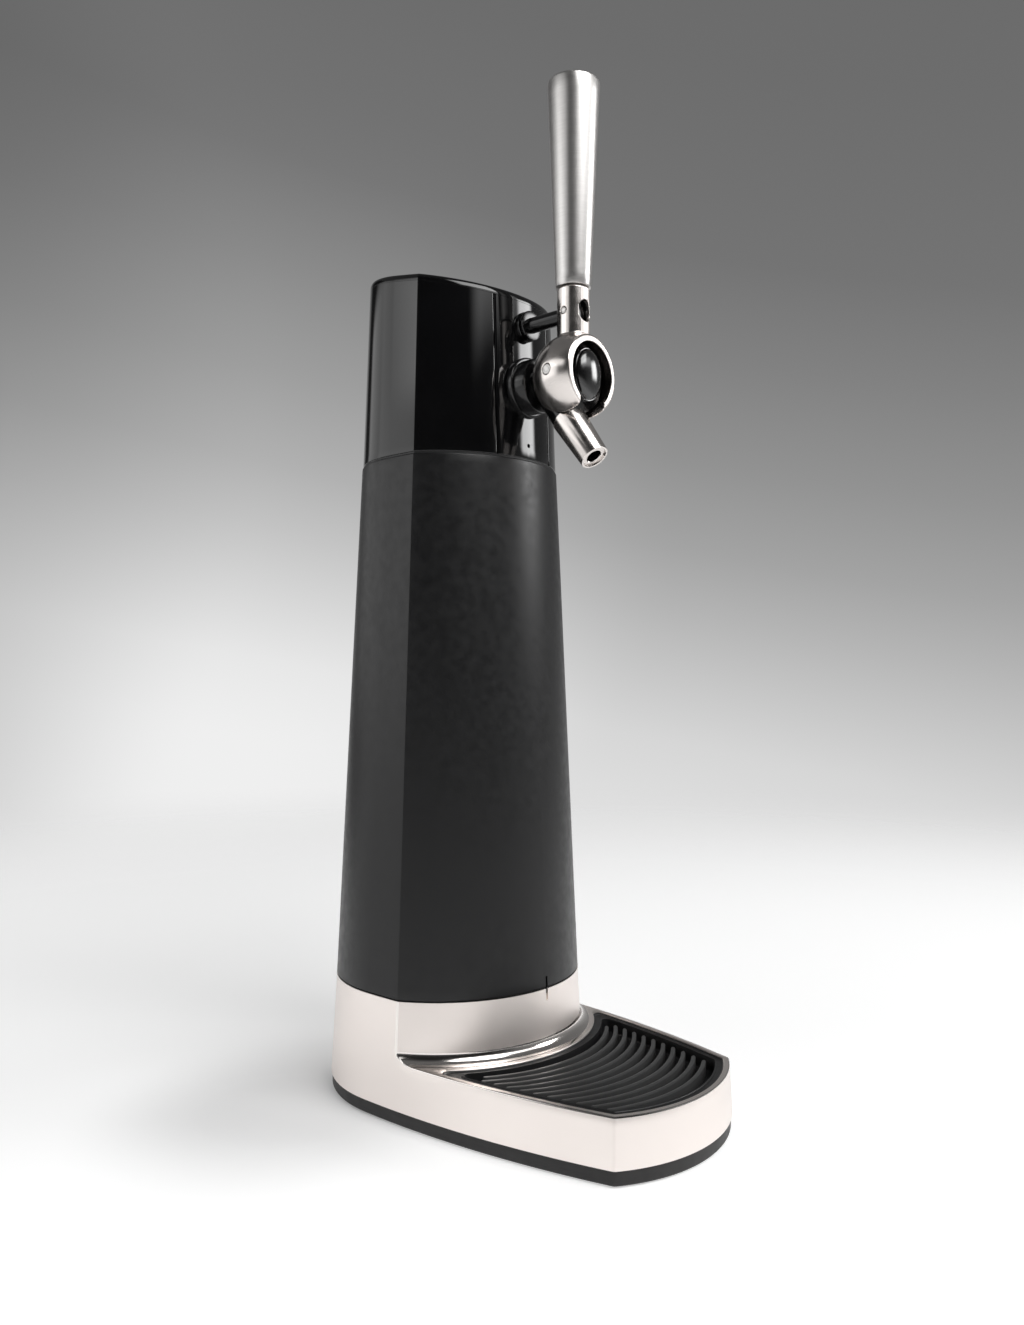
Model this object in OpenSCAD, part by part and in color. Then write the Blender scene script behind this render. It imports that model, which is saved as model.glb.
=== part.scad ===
// Can and bottle beer dispenser. Millimetres, +Z up, the tap faces -Y.
// The origin is on the table, under the middle of the outline.
// All drafted walls are cones about a few upright axes, so each outline is an inset of the one below it.

/* [Plan] */
// Radius of the round back, at the lower edge of the metal
rear_r = 55.6; // [54:0.1:60]
// Radius of the long side arcs
side_r = 400; // [300:5:600]
// Radius of the front of the tower
front_r = 61.8; // [60:0.1:64]
// Distance from the bottle axis back to the centre of the front arc
front_back = 9.5; // [8:0.1:11]
// Radius of the nose of the base
nose_r = 65.3; // [62:0.1:75]
// Distance from the bottle axis to the nose of the base
nose_reach = 125.9; // [122:0.1:135]

/* [Heights] */
// Height that the rubber feet stand out
foot_h = 0.6; // [0.5:0.1:2]
// Height of the lower edge of the metal
plinth_top = 6.2; // [5.5:0.1:8]
// Height of the rim round the drip tray
rim_z = 24.4; // [22:0.1:30]
// Height of the seam between base and tower
seam_z = 47.8; // [42:0.1:60]
// Height of the seam between sleeve and head
head_z = 266.3; // [260:0.1:275]
// Height of the sloped top above the bottle axis
top_z = 342.7; // [341:0.1:350]
// Slope of the top, falling to the front, in degrees
top_slope = 10.6; // [8:0.1:11]

/* [Draft] */
// Lean of the base walls in degrees
base_draft = 3.1; // [2:0.1:4]
// Lean of the sleeve walls in degrees
sleeve_draft = 2.62; // [2.2:0.01:2.7]
// Lean of the head walls in degrees
head_draft = 2; // [1:0.1:2.2]

/* [Walls and gaps] */
// Wall of the base shell
base_wall = 3; // [2:0.1:4]
// Wall of the tower sleeve
sleeve_wall = 2.5; // [2:0.1:3]
// Wall of the head
head_wall = 2.5; // [2:0.1:3]
// Thickness of the lid of the head
lid_t = 3; // [2:0.1:3.5]
// Thickness of the bulkhead between chamber and head
floor_t = 4; // [3:0.1:6]
// Gap that shows between base and tower
seam_gap = 0.4; // [0.3:0.1:0.8]
// Height of the shadow line between sleeve and head
shadow_h = 0.6; // [0.4:0.1:1]
// Step inwards from sleeve to head
head_step = 0.3; // [0:0.1:1]
// Clearance of pieces that lift or pull out
lift_gap = 0.3; // [0.2:0.05:0.6]
// Clearance of pieces that are fitted and stay
fit_gap = 0.15; // [0.05:0.05:0.3]
// Radial clearance of pins and rods that move
run_gap = 0.05; // [0.02:0.01:0.1]

/* [Base] */
// Inset of the black plinth under the metal
plinth_inset = 0.6; // [0.4:0.1:2]
// Bevel round the bottom of the plinth
plinth_bevel = 0.5; // [0.3:0.1:1.5]
// Depth that the plinth reaches into the shell
plug_h = 2.6; // [1.5:0.1:3]
// Radius of the bottle well
well_r = 43; // [41:0.1:44]
// Height of the floor of the bottle well
well_floor = 12; // [11.5:0.1:14]
// Thickness of the rubber pad in the well
pad_t = 2; // [1:0.1:4]
// Gap round the pad
pad_gap = 3; // [1:0.1:5]
// Height of the collar that guides the tower
spigot_h = 8; // [4:0.5:12]
// Width of the gasket between base and tower
gasket_w = 1.8; // [1:0.1:2]
// Depth of the gasket groove
gasket_h = 2; // [1:0.1:3]
// Distance of the gasket from the outer edge
gasket_inset = 0.5; // [0.3:0.1:0.7]
// Diameter of each rubber foot
foot_d = 14; // [10:0.5:16]
// Depth of the seat of a rubber foot
foot_seat = 1.5; // [1:0.1:2]
// Half the spread of the feet across the base
foot_x = 30; // [26:0.5:32]
// Distance of the front feet from the nose
foot_front = 24; // [22:0.5:30]
// Distance of the rear feet behind the bottle axis
foot_rear = 28; // [22:0.5:30]
// Half the spread of the base screws
screw_x = 26; // [20:0.5:28]
// Distance of the front screws from the nose
screw_front = 42; // [40:0.5:48]
// Distance of the rear screws behind the bottle axis
screw_rear = 8; // [0:0.5:14]
// Diameter of a screw
screw_d = 3; // [2.5:0.1:4]
// Diameter of a screw head
screw_head_d = 6; // [5:0.1:7]
// Height of a screw head
screw_head_h = 2; // [1.5:0.1:2.5]
// Width of the mark that lines up tower and base
tick_w = 1.2; // [0.8:0.1:2]
// Length of the mark on each side of the seam
tick_len = 4.6; // [3:0.1:6]
// Depth of the mark
tick_depth = 0.8; // [0.4:0.1:1.2]

/* [Drip tray] */
// Depth of the tray recess below the rim
tray_depth = 8; // [6:0.5:10]
// Metal left round the recess
rim_w = 2.2; // [1.5:0.1:3]
// Bevel along the rim
rim_bevel = 0.8; // [0.4:0.1:1.2]
// Radius of the cove behind the tray
cove_r = 4.5; // [3:0.1:6]
// Flat metal between cove and recess
cove_flat = 1.3; // [0.5:0.1:3]
// Height of the tray's border below the rim
tray_low = 0.4; // [0.2:0.1:1]
// Thickness of the tray's floor
tray_floor = 2; // [1.5:0.1:3]
// Width of the tray's border
tray_border = 3.2; // [2:0.1:5]
// Number of ribs
rib_count = 11; // [8:1:11]
// Radius of the rib arcs
rib_r = 66; // [60:1:80]
// Width of a rib
rib_w = 1.8; // [1:0.1:2.5]
// Distance from rib to rib
rib_pitch = 4.85; // [4.4:0.05:4.9]
// Distance from the nose to the first rib
rib_first = 13; // [12:0.1:15]
// Gap between the ends of the ribs and the border
rib_end_gap = 2.4; // [1.5:0.1:4]
// Depth of the rib tops below the border
rib_low = 0.8; // [0.2:0.1:1.5]

/* [Tap] */
// Distance from the bottle axis to the tap's pivot
tap_reach = 63.15; // [62.5:0.05:66]
// Height of the pivot
pivot_z = 296.5; // [295:0.1:297]
// Radius of the ball shell
ball_r = 17.4; // [17:0.1:17.8]
// Distance of the ball's centre in front of the pivot
ball_ahead = 1.3; // [1:0.1:1.6]
// Wall of the ball shell
ball_wall = 2.2; // [2:0.1:2.6]
// Distance from the ball's centre to its flat front
face_cut = 8.8; // [8:0.1:9.2]
// Width of the slot under and behind the ball
yoke_w = 15.2; // [15:0.1:16]
// Height of the rear slot above the pivot
yoke_h = 10.6; // [10.4:0.1:11]
// Diameter of the ferrule
ferrule_d = 13.2; // [12.4:0.1:14]
// Length of the ferrule above the pivot
ferrule_len = 35.6; // [35.2:0.1:37]
// Diameter of the pivot pins
pivot_d = 4.4; // [3.5:0.1:5]
// Height of the push rod above the pivot
rod_lift = 26; // [25.8:0.1:26.2]
// Diameter of the push rod
rod_d = 6.4; // [6:0.1:6.5]
// Width of the slot in the back of the ferrule
rod_slot_w = 7.2; // [7:0.1:7.6]
// Height of the slot in the back of the ferrule
rod_slot_h = 11; // [10.9:0.1:11.2]
// Width of the opening in the front of the ferrule
sight_w = 6.8; // [6:0.1:6.9]
// Height of the opening in the front of the ferrule
sight_h = 8.8; // [8:0.1:10]
// Diameter of the cross pin
rod_pin_d = 2.9; // [2.5:0.1:3]
// Drop of the slotted eye in the push rod
eye_drop = 0.7; // [0.65:0.05:1]
// Side play of the cross pin in the eye
eye_play = 0.15; // [0.1:0.05:0.25]

/* [Faucet] */
// Gap between the ball shell and the core inside it
core_gap = 0.6; // [0.4:0.1:0.8]
// Distance from the ball's centre to the flat front of the core
core_front = 4; // [3:0.1:4.5]
// Distance from the ball's centre to the rim of the dome
dome_rim = 6.3; // [5:0.1:7]
// Step round the dome
dome_step = 0.4; // [0.3:0.1:0.8]
// Half width of the oval dome
dome_x = 7.6; // [6:0.1:8]
// Height of the dome in front of its rim
dome_y = 3.5; // [2.5:0.1:4]
// Half height of the oval dome
dome_z = 10.2; // [9.5:0.1:10.2]
// Diameter of the shank
shank_d = 22.5; // [20:0.1:24]
// Diameter of the collar at the root of the shank
collar_d = 25; // [24.2:0.1:28]
// Thickness of that collar
collar_t = 2; // [1:0.1:3]
// Gap between the end of the shank and the ball
shank_gap = 0.7; // [0.5:0.1:1]
// Diameter of the neck inside the ball
neck_d = 14; // [12:0.1:14]
// Diameter of the elbow that carries the spout
elbow_d = 13.2; // [12:0.1:13.6]
// Diameter of the threaded tail of the shank
tail_d = 16; // [14:0.1:17]
// Bore for the drink
flow_d = 4; // [3:0.1:5]
// Distance behind the pivot where the spout branches off
spout_back = 14.4; // [13.8:0.1:15]
// Lean of the spout from upright, in degrees
spout_lean = 36.9; // [34:0.1:40]
// Distance from the branch to the tip of the spout
spout_reach = 42.4; // [40:0.1:45]
// Length of the metal spout
spout_len = 22.5; // [20:0.1:25]
// Diameter of the spout at its tip
spout_tip_d = 11.8; // [10:0.1:13]
// Diameter of the spout at its top
spout_top_d = 13.9; // [13:0.1:14.2]
// Bore at the tip of the spout
spout_bore = 6.2; // [5:0.1:7]
// Depth of the step in the tip of the spout
spout_step = 0.8; // [0.5:0.1:1.5]
// Width of the lip round the tip of the spout
spout_lip = 1; // [0.6:0.1:1.4]

/* [Handle] */
// Gap between ferrule and handle
handle_gap = 0.6; // [0.4:0.1:1]
// Length of the handle
handle_len = 83.8; // [70:0.1:95]
// Diameter of the handle at the bottom
handle_low_d = 14.3; // [13.4:0.1:15]
// Diameter of the handle at the top
handle_top_d = 21.2; // [17:0.1:24]
// Rounding of the top edge of the handle
handle_round = 1; // [0.5:0.1:3]
// Diameter of the stud in the handle
stud_d = 8; // [6:0.1:9]
// Depth of the stud in the ferrule
stud_low = 3.4; // [2:0.1:3.6]
// Depth of the stud in the handle
stud_high = 14; // [8:0.5:20]

/* [Head fittings] */
// Width of the front panel
panel_w = 32; // [31.6:0.1:34]
// Seam on each side of the front panel
panel_gap = 0.35; // [0.2:0.05:0.8]
// Diameter of the pinhole low in the front panel
pinhole_d = 1.6; // [1:0.1:2]
// Height of the pinhole above the seam
pinhole_up = 6; // [4:0.1:8]
// Distance of the flat boss behind the panel's face
boss_back = 6; // [5.5:0.1:6.5]
// Diameter of the boss round the shank
boss_d = 31; // [30:0.1:31.2]
// Thickness of the shank nut
nut_t = 5.5; // [4:0.1:6]
// Width of the shank nut across its flats
nut_flats = 26; // [24:0.1:27]
// Diameter of the push rod's bushing
bushing_d = 9; // [8.4:0.1:9.6]
// Diameter of the bushing's lips
lip_d = 12.4; // [10.5:0.1:13]
// Length of the bushing in front of the panel
lip_len = 3.6; // [3:0.1:5]
// Thickness of the switch bracket
bracket_t = 2; // [1.5:0.1:2.5]
// Inside width of the bracket from the rod to its side
bracket_x = 12; // [11:0.1:12]
// Half height of the bracket
bracket_z = 9.4; // [9:0.1:9.6]
// Radius of the cam on the rod
cam_r = 8; // [7.4:0.1:8.4]
// Thickness of the cam
cam_t = 5; // [4:0.1:6]
// Travel allowed to the cam in front
cam_front = 5.9; // [5.8:0.1:6.5]
// Travel allowed to the cam behind
cam_rear = 4.9; // [4.8:0.1:5.5]
// Thickness of a switch along the rod
switch_t = 6; // [5:0.1:6.5]
// Height of a switch
switch_h = 12; // [10:0.1:13]
// Gap between a switch and the rod's axis
switch_x = 5; // [4.8:0.1:5.4]
// Wire of the return springs
wire_d = 0.8; // [0.6:0.05:0.9]
// Turns of each return spring
spring_turns = 4; // [3:1:5]
// Outer diameter of the hoses
hose_d = 6; // [5:0.1:7]
// Bend radius of the beer line
bend_r = 15; // [12:0.5:16]
// Extra wall of the hose's cuff
cuff_t = 0.8; // [0.5:0.1:1.5]
// Length of the rubber plug round the pickup tube
plug_len = 14; // [10:0.5:20]
// Diameter of that plug
plug_d = 16; // [14:0.1:18]
// Height of the lower end of the pickup tube
tube_low = 24; // [20:0.5:60]
// Thickness of the sonic disc
disc_t = 3; // [2:0.1:4]
// Diameter of the sonic disc
disc_d = 24; // [20:0.1:26]
// Diameter of a battery
cell_d = 14.5; // [14:0.1:14.5]
// Length of a battery
cell_len = 50.5; // [49:0.1:50.5]
// Wall of the battery tray
cell_wall = 1.5; // [1:0.1:2]
// Gap between the batteries and the wall of the head
cell_gap = 1.2; // [1:0.1:2]
// Height of the lower battery above the bulkhead
cell_up = 17; // [14:0.1:18]
// Width of the battery cover
door_w = 56; // [54:0.5:58]
// Height of the battery cover
door_h = 40; // [36:0.5:42]
// Height of the cover's lower edge above the seam
door_up = 9; // [6:0.5:12]
// Radius of the finger dent in the cover
dent_r = 7; // [5:0.1:9]
// Gap between the pump and the wall of the head
pump_gap = 9; // [8.5:0.1:10]
// Gap between the battery tray and the parts beside it
part_gap = 1; // [0.5:0.1:2]
// Depth of the lip under the lid
lip_depth = 4; // [3:0.1:5]
// Height of the screw posts in the head
post_h = 10; // [8:0.1:12]
// Depth of the thread in a screw post
thread_h = 8; // [6:0.1:8.5]
// Metal round a screw hole in a post
post_wall = 1.5; // [1:0.1:2]
// Diameter of the pump motor
motor_d = 17; // [15:0.1:18]
// Length of the pump motor
motor_len = 27; // [20:0.5:28]
// Width of the pump head
pump_w = 18; // [16:0.1:18.4]
// Height of the pump head
pump_h = 14; // [12:0.1:16]
// Outer diameter of the air line
air_d = 5; // [4:0.1:6]
// Length of the air line below the bulkhead
air_low = 4; // [2:0.1:8]
// Distance of the circuit board from the middle
board_x = 24; // [22:0.1:26]
// Thickness of the circuit board
board_t = 1.6; // [1.2:0.1:2]
// Length of the circuit board
board_y = 24; // [20:0.5:26]
// Height of the circuit board
board_z = 50; // [40:0.5:52]

/* [Hidden] */

nickel = "#cfc8c2";
steel = "#b5b4b2";
gloss_black = "#0c0c0d";
charcoal = "#2c2d2f";
black = "#161617";
rubber = "#202021";
far = 300;
skin = 0.01;
$fn = 96;
plan_fn = 360;

bottle_y = (nose_reach - rear_r) / 2;
nose_y = bottle_y - nose_reach;
pivot_y = bottle_y - tap_reach;
rod_z = pivot_z + rod_lift;
// Insets are whole microns, so that the large and small arcs of an outline meet exactly
function snap(v) = round(v * 1000) / 1000;
function base_inset(z) = snap((z - plinth_top) * tan(base_draft));
function sleeve_inset(z) = snap(base_inset(seam_z) + (z - seam_z) * tan(sleeve_draft));
function head_inset(z) = snap(sleeve_inset(head_z) + head_step + (z - head_z) * tan(head_draft));
function panel_y(z) = bottle_y + front_back - front_r + head_inset(z);
head_low = head_z + shadow_h / 2;
sleeve_low = seam_z + seam_gap;
sleeve_high = head_z - shadow_h / 2;
floor_top = head_low + floor_t;
above_top = round(top_z + far * tan(top_slope) / 2);

recess_floor = rim_z - tray_depth;
tray_seat = 0.1;
tray_under = recess_floor + tray_seat;
floor_under = plinth_top + plug_h;
screw_seat = foot_h + screw_head_h + 1;
screw_top = well_floor - 1;
screw_spots = [[screw_x, nose_y + screw_front], [-screw_x, nose_y + screw_front],
    [screw_x, bottle_y + screw_rear], [-screw_x, bottle_y + screw_rear]];
foot_spots = [[foot_x, nose_y + foot_front], [-foot_x, nose_y + foot_front],
    [foot_x, bottle_y + foot_rear], [-foot_x, bottle_y + foot_rear]];
base_post_r = screw_d / 2 + base_wall;
head_r = rear_r - head_inset(floor_top) - head_wall;
post_r = screw_d / 2 + post_wall;
floor_ring = head_r - screw_head_d / 2 - 3 * fit_gap - 0.4;
tray_half = cell_len / 2 + cell_wall + fit_gap;
post_x = tray_half + lift_gap + post_r;
post_y = sqrt(floor_ring * floor_ring - post_x * post_x);
side_y = -floor_ring / 6;
floor_spots = [[floor_ring, bottle_y + side_y], [-floor_ring, bottle_y + side_y],
    [post_x, bottle_y + post_y], [-post_x, bottle_y + post_y]];

ball_y = pivot_y - ball_ahead;
core_r = ball_r - ball_wall - core_gap;
core_half = core_r - 0.4;
shank_end = ball_y + ball_r + shank_gap;
boss_y = panel_y(pivot_z) + boss_back;
nut_y = boss_y + fit_gap;
disc_y = nut_y + nut_t + fit_gap;
tail_end = disc_y + disc_t + 1;
line_z = pivot_z - bend_r;
cuff_over = 0.3;
branch_y = pivot_y + spout_back;
spout_top = spout_reach - spout_len;
ferrule_top = pivot_z + ferrule_len;
handle_low = ferrule_top + handle_gap;
stud_bottom = ferrule_top - stud_low;

bracket_front = panel_y(rod_z) + boss_back;
pour_y = bracket_front + bracket_t + fit_gap;
cam_y = pour_y + switch_t + cam_front;
foam_y = cam_y + cam_t + cam_rear;
bracket_rear = foam_y + switch_t + fit_gap;
rod_rear = bracket_rear + bracket_t + cam_front + 1;
rod_nose = pivot_y - rod_pin_d / 2 - 1.8;
spring_r = rod_d / 2 + wire_d / 2 + 0.25;
cell_z = floor_top + cell_up;
cell_pitch = cell_d + cell_wall;
cell_reach = rear_r - head_inset(cell_z + cell_pitch + cell_d / 2) - head_wall - cell_gap;
cell_y = bottle_y + sqrt(cell_reach * cell_reach - cell_len * cell_len / 4) - cell_d / 2;
tray_front = cell_y - cell_d / 2 - cell_wall;
pump_x = head_r - pump_gap - pump_w / 2;
pump_y = tray_front - part_gap - pump_w / 2;
board_front = tray_front - part_gap - board_y;

// Helpers

// A cone about an upright axis: radius r less the insets d1 at z1 and d2 at z2.
// The turn puts the cone's own seam on the side that the outline cuts off.
module wall_cone(x, back, r, z1, z2, d1, d2, turn = 90) {
    translate([x, bottle_y + back, z1])
        rotate([0, 0, turn])
            cylinder(h = z2 - z1, r1 = r - d1, r2 = r - d2, $fn = plan_fn);
}

// Everything on one side of the plane through the bottle axis
module half(side, z1, z2) {
    translate([-far, bottle_y + min(side, 0) * far, z1])
        cube([2 * far, far, z2 - z1]);
}

// The drafted outline, inset by d1 at z1 and d2 at z2, with the tower's front or the base's nose
module plan_solid(z1, z2, d1, d2, nose = false) {
    side_x = side_r - rear_r;
    intersection() {
        wall_cone(0, 0, rear_r, z1, z2, d1, d2, -90);
        half(1, z1, z2);
    }
    intersection() {
        wall_cone(side_x, 0, side_r, z1, z2, d1, d2);
        wall_cone(-side_x, 0, side_r, z1, z2, d1, d2);
        if (nose)
            union() {
                wall_cone(0, nose_r - nose_reach, nose_r, z1, z2, d1, d2);
                box([-far, nose_y + nose_r, z1], [far, far, z2]);
            }
        else
            wall_cone(0, front_back, front_r, z1, z2, d1, d2);
        half(-1, z1, z2);
    }
}

module base_block(z1, z2, extra = 0, nose = false) {
    plan_solid(z1, z2, base_inset(z1) + extra, base_inset(z2) + extra, nose);
}

module sleeve_block(z1, z2, extra = 0) {
    plan_solid(z1, z2, sleeve_inset(z1) + extra, sleeve_inset(z2) + extra);
}

// Everything below the sloped top, lowered by drop
module under_top(drop) {
    translate([0, bottle_y, top_z - drop])
        rotate([top_slope, 0, 0])
            translate([-far, -far, -far])
                cube([2 * far, 2 * far, far]);
}

module head_block(z1, extra = 0, drop = 0) {
    intersection() {
        plan_solid(z1, above_top, head_inset(z1) + extra, head_inset(above_top) + extra);
        under_top(drop);
    }
}

// Hollow walls of the head up to the lid
module head_walls() {
    difference() {
        head_block(head_low, 0, lid_t);
        head_block(head_low - 1, head_wall);
    }
}

// A bar along Y about the axis at height z
module bar_y(y1, y2, r, z, x = 0) {
    translate([x, y1, z])
        rotate([-90, 0, 0])
            cylinder(h = y2 - y1, r = r);
}

module tube_z(z1, z2, r, bore_r, x = 0, y = bottle_y) {
    translate([x, y, z1])
        difference() {
            cylinder(h = z2 - z1, r = r);
            translate([0, 0, -1])
                cylinder(h = z2 - z1 + 2, r = bore_r);
        }
}

module box(low, high) {
    translate(low)
        cube(high - low);
}

// Frame of the spout: its axis runs down along -Z from the branch
module spout_frame() {
    translate([0, branch_y, pivot_z])
        rotate([-spout_lean, 0, 0])
            children();
}

module tray_plan(gap) {
    inset = base_inset(rim_z) + rim_w + gap;
    side_x = side_r - rear_r;
    translate([0, bottle_y])
        difference() {
            intersection() {
                translate([side_x, 0]) circle(side_r - inset, $fn = plan_fn);
                translate([-side_x, 0]) circle(side_r - inset, $fn = plan_fn);
                translate([0, nose_r - nose_reach]) circle(nose_r - inset, $fn = plan_fn);
            }
            translate([0, front_back])
                circle(front_r - base_inset(rim_z) + cove_r + cove_flat + gap, $fn = plan_fn);
        }
}

module tray_slab(gap, z1, z2) {
    translate([0, 0, z1])
        linear_extrude(z2 - z1)
            tray_plan(gap);
}

// Mark across the seam at the front, cut into the wall whose front lies at y
module tick(z1, z2, y) {
    box([-tick_w / 2, y - 1, z1], [tick_w / 2, y + tick_depth, z2]);
}

// Screw with its head down at z1
module screw(z1, z2) {
    translate([0, 0, z1])
        cylinder(h = screw_head_h, d = screw_head_d);
    translate([0, 0, z1])
        cylinder(h = z2 - z1, d = screw_d);
}

module screw_hole(z_seat, z2) {
    translate([0, 0, z_seat - far])
        cylinder(h = far, d = screw_head_d + 2 * fit_gap);
    translate([0, 0, z_seat - 1])
        cylinder(h = z2 - z_seat + 1, d = screw_d + 2 * fit_gap);
}

// Points and triangles of a coil of wire along Y, from y1 to y2 round the push rod
function coil_ring(y1, y2, i, n) =
    let (turn = 360 * spring_turns * i / n, y = y1 + wire_d / 2 + (y2 - y1 - wire_d) * i / n)
    [for (k = [0:5])
        let (r = spring_r + wire_d / 2 * cos(60 * k))
        [r * cos(turn), y + wire_d / 2 * sin(60 * k), rod_z + r * sin(turn)]];

module coil(y1, y2) {
    n = 12 * spring_turns;
    points = [for (i = [0:n]) each coil_ring(y1, y2, i, n)];
    walls = [for (i = [0:n - 1], k = [0:5])
        let (a = 6 * i + k, b = 6 * i + (k + 1) % 6)
        each [[a, a + 6, b], [b, a + 6, b + 6]]];
    ends = [for (k = [1:4])
        each [[0, k, k + 1], [6 * n, 6 * n + k + 1, 6 * n + k]]];
    polyhedron(points, concat(walls, ends));
}

// Base

module rubber_feet() {
    color(rubber)
        for (p = foot_spots)
            translate([p[0], p[1], 0])
                cylinder(h = foot_h + foot_seat, d = foot_d);
}

module foot_plinth() {
    color(black)
        difference() {
            union() {
                plan_solid(foot_h, foot_h + plinth_bevel, plinth_inset + plinth_bevel, plinth_inset, true);
                plan_solid(foot_h + plinth_bevel, plinth_top, plinth_inset, plinth_inset, true);
                plan_solid(plinth_top, floor_under, base_wall + fit_gap, base_wall + fit_gap, true);
            }
            for (p = foot_spots)
                translate([p[0], p[1], 0])
                    cylinder(h = foot_h + foot_seat, d = foot_d + 2 * fit_gap);
            for (p = screw_spots)
                translate([p[0], p[1], 0])
                    screw_hole(screw_seat, floor_under + 1);
        }
}

module base_screws() {
    color(steel)
        for (p = screw_spots)
            translate([p[0], p[1], 0])
                screw(screw_seat - screw_head_h, screw_top);
}

// What is cut away in front of the tower, down to the rim, with a concave fillet at the foot of the wall
module front_cut() {
    centre_z = rim_z + cove_r;
    centre_r = front_r - base_inset(centre_z) + cove_r / cos(base_draft);
    touch_z = centre_z + cove_r * sin(base_draft);
    top = seam_z + 1;
    intersection() {
        translate([0, bottle_y + front_back, 0])
            rotate_extrude($fn = plan_fn)
                difference() {
                    polygon([[front_r - base_inset(rim_z), rim_z], [far, rim_z], [far, top],
                        [front_r - base_inset(top), top]]);
                    difference() {
                        polygon([[front_r - cove_r, rim_z - 1], [centre_r, rim_z - 1],
                            [centre_r, centre_z], [front_r - base_inset(touch_z), touch_z]]);
                        translate([centre_r, centre_z]) circle(cove_r);
                    }
                }
        half(-1, 0, far);
    }
}

// Bevel along the rim, ending at the fillet; the cutter runs past both of its edges by over
module rim_cut() {
    over = 0.3;
    low_z = rim_z - rim_bevel - over;
    high_z = rim_z + over;
    edge = base_inset(rim_z - rim_bevel);
    difference() {
        half(-1, low_z, high_z);
        plan_solid(low_z, high_z, edge - over, edge + rim_bevel + over, true);
        translate([0, bottle_y + front_back, 0])
            cylinder(h = far, r = front_r - base_inset(rim_z) + cove_r, $fn = plan_fn);
    }
}

module gasket_ring(z1, z2, gap) {
    inset = base_inset(seam_z) + gasket_inset;
    difference() {
        plan_solid(z1, z2, inset - gap, inset - gap);
        plan_solid(z1 - 1, z2 + 1, inset + gasket_w + gap, inset + gasket_w + gap);
    }
}

// Hollow under the tray, outside the wall of the well and round the screw posts
module under_tray_hollow() {
    difference() {
        plan_solid(floor_under - skin, recess_floor - base_wall, base_wall, base_wall, true);
        translate([0, bottle_y, 0])
            cylinder(h = rim_z, r = well_r + base_wall);
        for (p = screw_spots)
            translate([p[0], p[1], 0])
                cylinder(h = rim_z, r = base_post_r);
        half(1, 0, rim_z);
    }
}

module base_shell() {
    collar_inset = sleeve_wall + lift_gap;
    color(nickel)
        difference() {
            union() {
                difference() {
                    base_block(plinth_top, seam_z, 0, true);
                    front_cut();
                    rim_cut();
                }
                sleeve_block(seam_z - 1, seam_z + spigot_h, collar_inset);
            }
            translate([0, bottle_y, well_floor])
                cylinder(h = far, r = well_r, $fn = plan_fn);
            tray_slab(0, recess_floor, rim_z + cove_r);
            plan_solid(plinth_top - 1, floor_under, base_wall, base_wall, true);
            under_tray_hollow();
            gasket_ring(seam_z - gasket_h, seam_z + skin, fit_gap);
            tick(seam_z - tick_len, seam_z + 1, panel_y(head_z) - head_inset(head_z) + base_inset(seam_z));
            for (p = screw_spots)
                translate([p[0], p[1], plinth_top])
                    cylinder(h = screw_top + fit_gap - plinth_top, d = screw_d + 2 * fit_gap);
        }
}

module bottle_pad() {
    color(rubber)
        translate([0, bottle_y, well_floor])
            difference() {
                cylinder(h = pad_t, r = well_r - pad_gap);
                for (k = [1:3])
                    translate([0, 0, pad_t / 2])
                        difference() {
                            cylinder(h = pad_t, r = k * well_r / 4 + 1);
                            cylinder(h = pad_t, r = k * well_r / 4);
                        }
            }
}

module base_gasket() {
    color(rubber)
        gasket_ring(seam_z - gasket_h, seam_z + seam_gap / 2, 0);
}

module drip_tray() {
    border_top = rim_z - tray_low;
    rib_top = border_top - rib_low;
    floor_z = tray_under + tray_floor;
    color(black) {
        difference() {
            tray_slab(lift_gap, tray_under, border_top);
            tray_slab(lift_gap + tray_border, floor_z, border_top + 1);
        }
        intersection() {
            tray_slab(lift_gap + tray_border + rib_end_gap, floor_z - 1, rib_top);
            for (k = [0:rib_count - 1])
                translate([0, nose_y + rib_first + k * rib_pitch + rib_r, floor_z - 1])
                    difference() {
                        cylinder(h = tray_depth, r = rib_r + rib_w / 2, $fn = plan_fn);
                        translate([0, 0, -1])
                            cylinder(h = tray_depth + 2, r = rib_r - rib_w / 2, $fn = plan_fn);
                    }
        }
    }
}

// Tower

module tower_sleeve() {
    front_y = panel_y(head_z) - head_inset(head_z) + base_inset(seam_z);
    color(charcoal)
        difference() {
            sleeve_block(sleeve_low, sleeve_high);
            sleeve_block(sleeve_low - 1, sleeve_high + 1, sleeve_wall);
            tick(sleeve_low - 1, sleeve_low + tick_len, front_y);
        }
}

// Post for a screw, widened outwards until it reaches into the wall of the head
module screw_post(p) {
    web = head_r - floor_ring - post_r + head_wall / 3;
    away = [p[0], p[1] - bottle_y, 0] / norm([p[0], p[1] - bottle_y]);
    for (step = [0, web])
        translate([p[0], p[1], floor_top + fit_gap] + step * away)
            cylinder(h = post_h, r = post_r);
}

module head_shell() {
    strip = panel_w / 2 + panel_gap;
    color(gloss_black)
        difference() {
            union() {
                head_walls();
                for (p = floor_spots)
                    screw_post(p);
            }
            for (p = floor_spots)
                translate([p[0], p[1], floor_top])
                    cylinder(h = thread_h + fit_gap, d = screw_d + 2 * fit_gap);
            box([-strip, nose_y, head_low - 1], [strip, bottle_y - front_back, above_top]);
            box([-door_w / 2, bottle_y + front_back, head_z + door_up],
                [door_w / 2, bottle_y + far, head_z + door_up + door_h]);
        }
}

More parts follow.
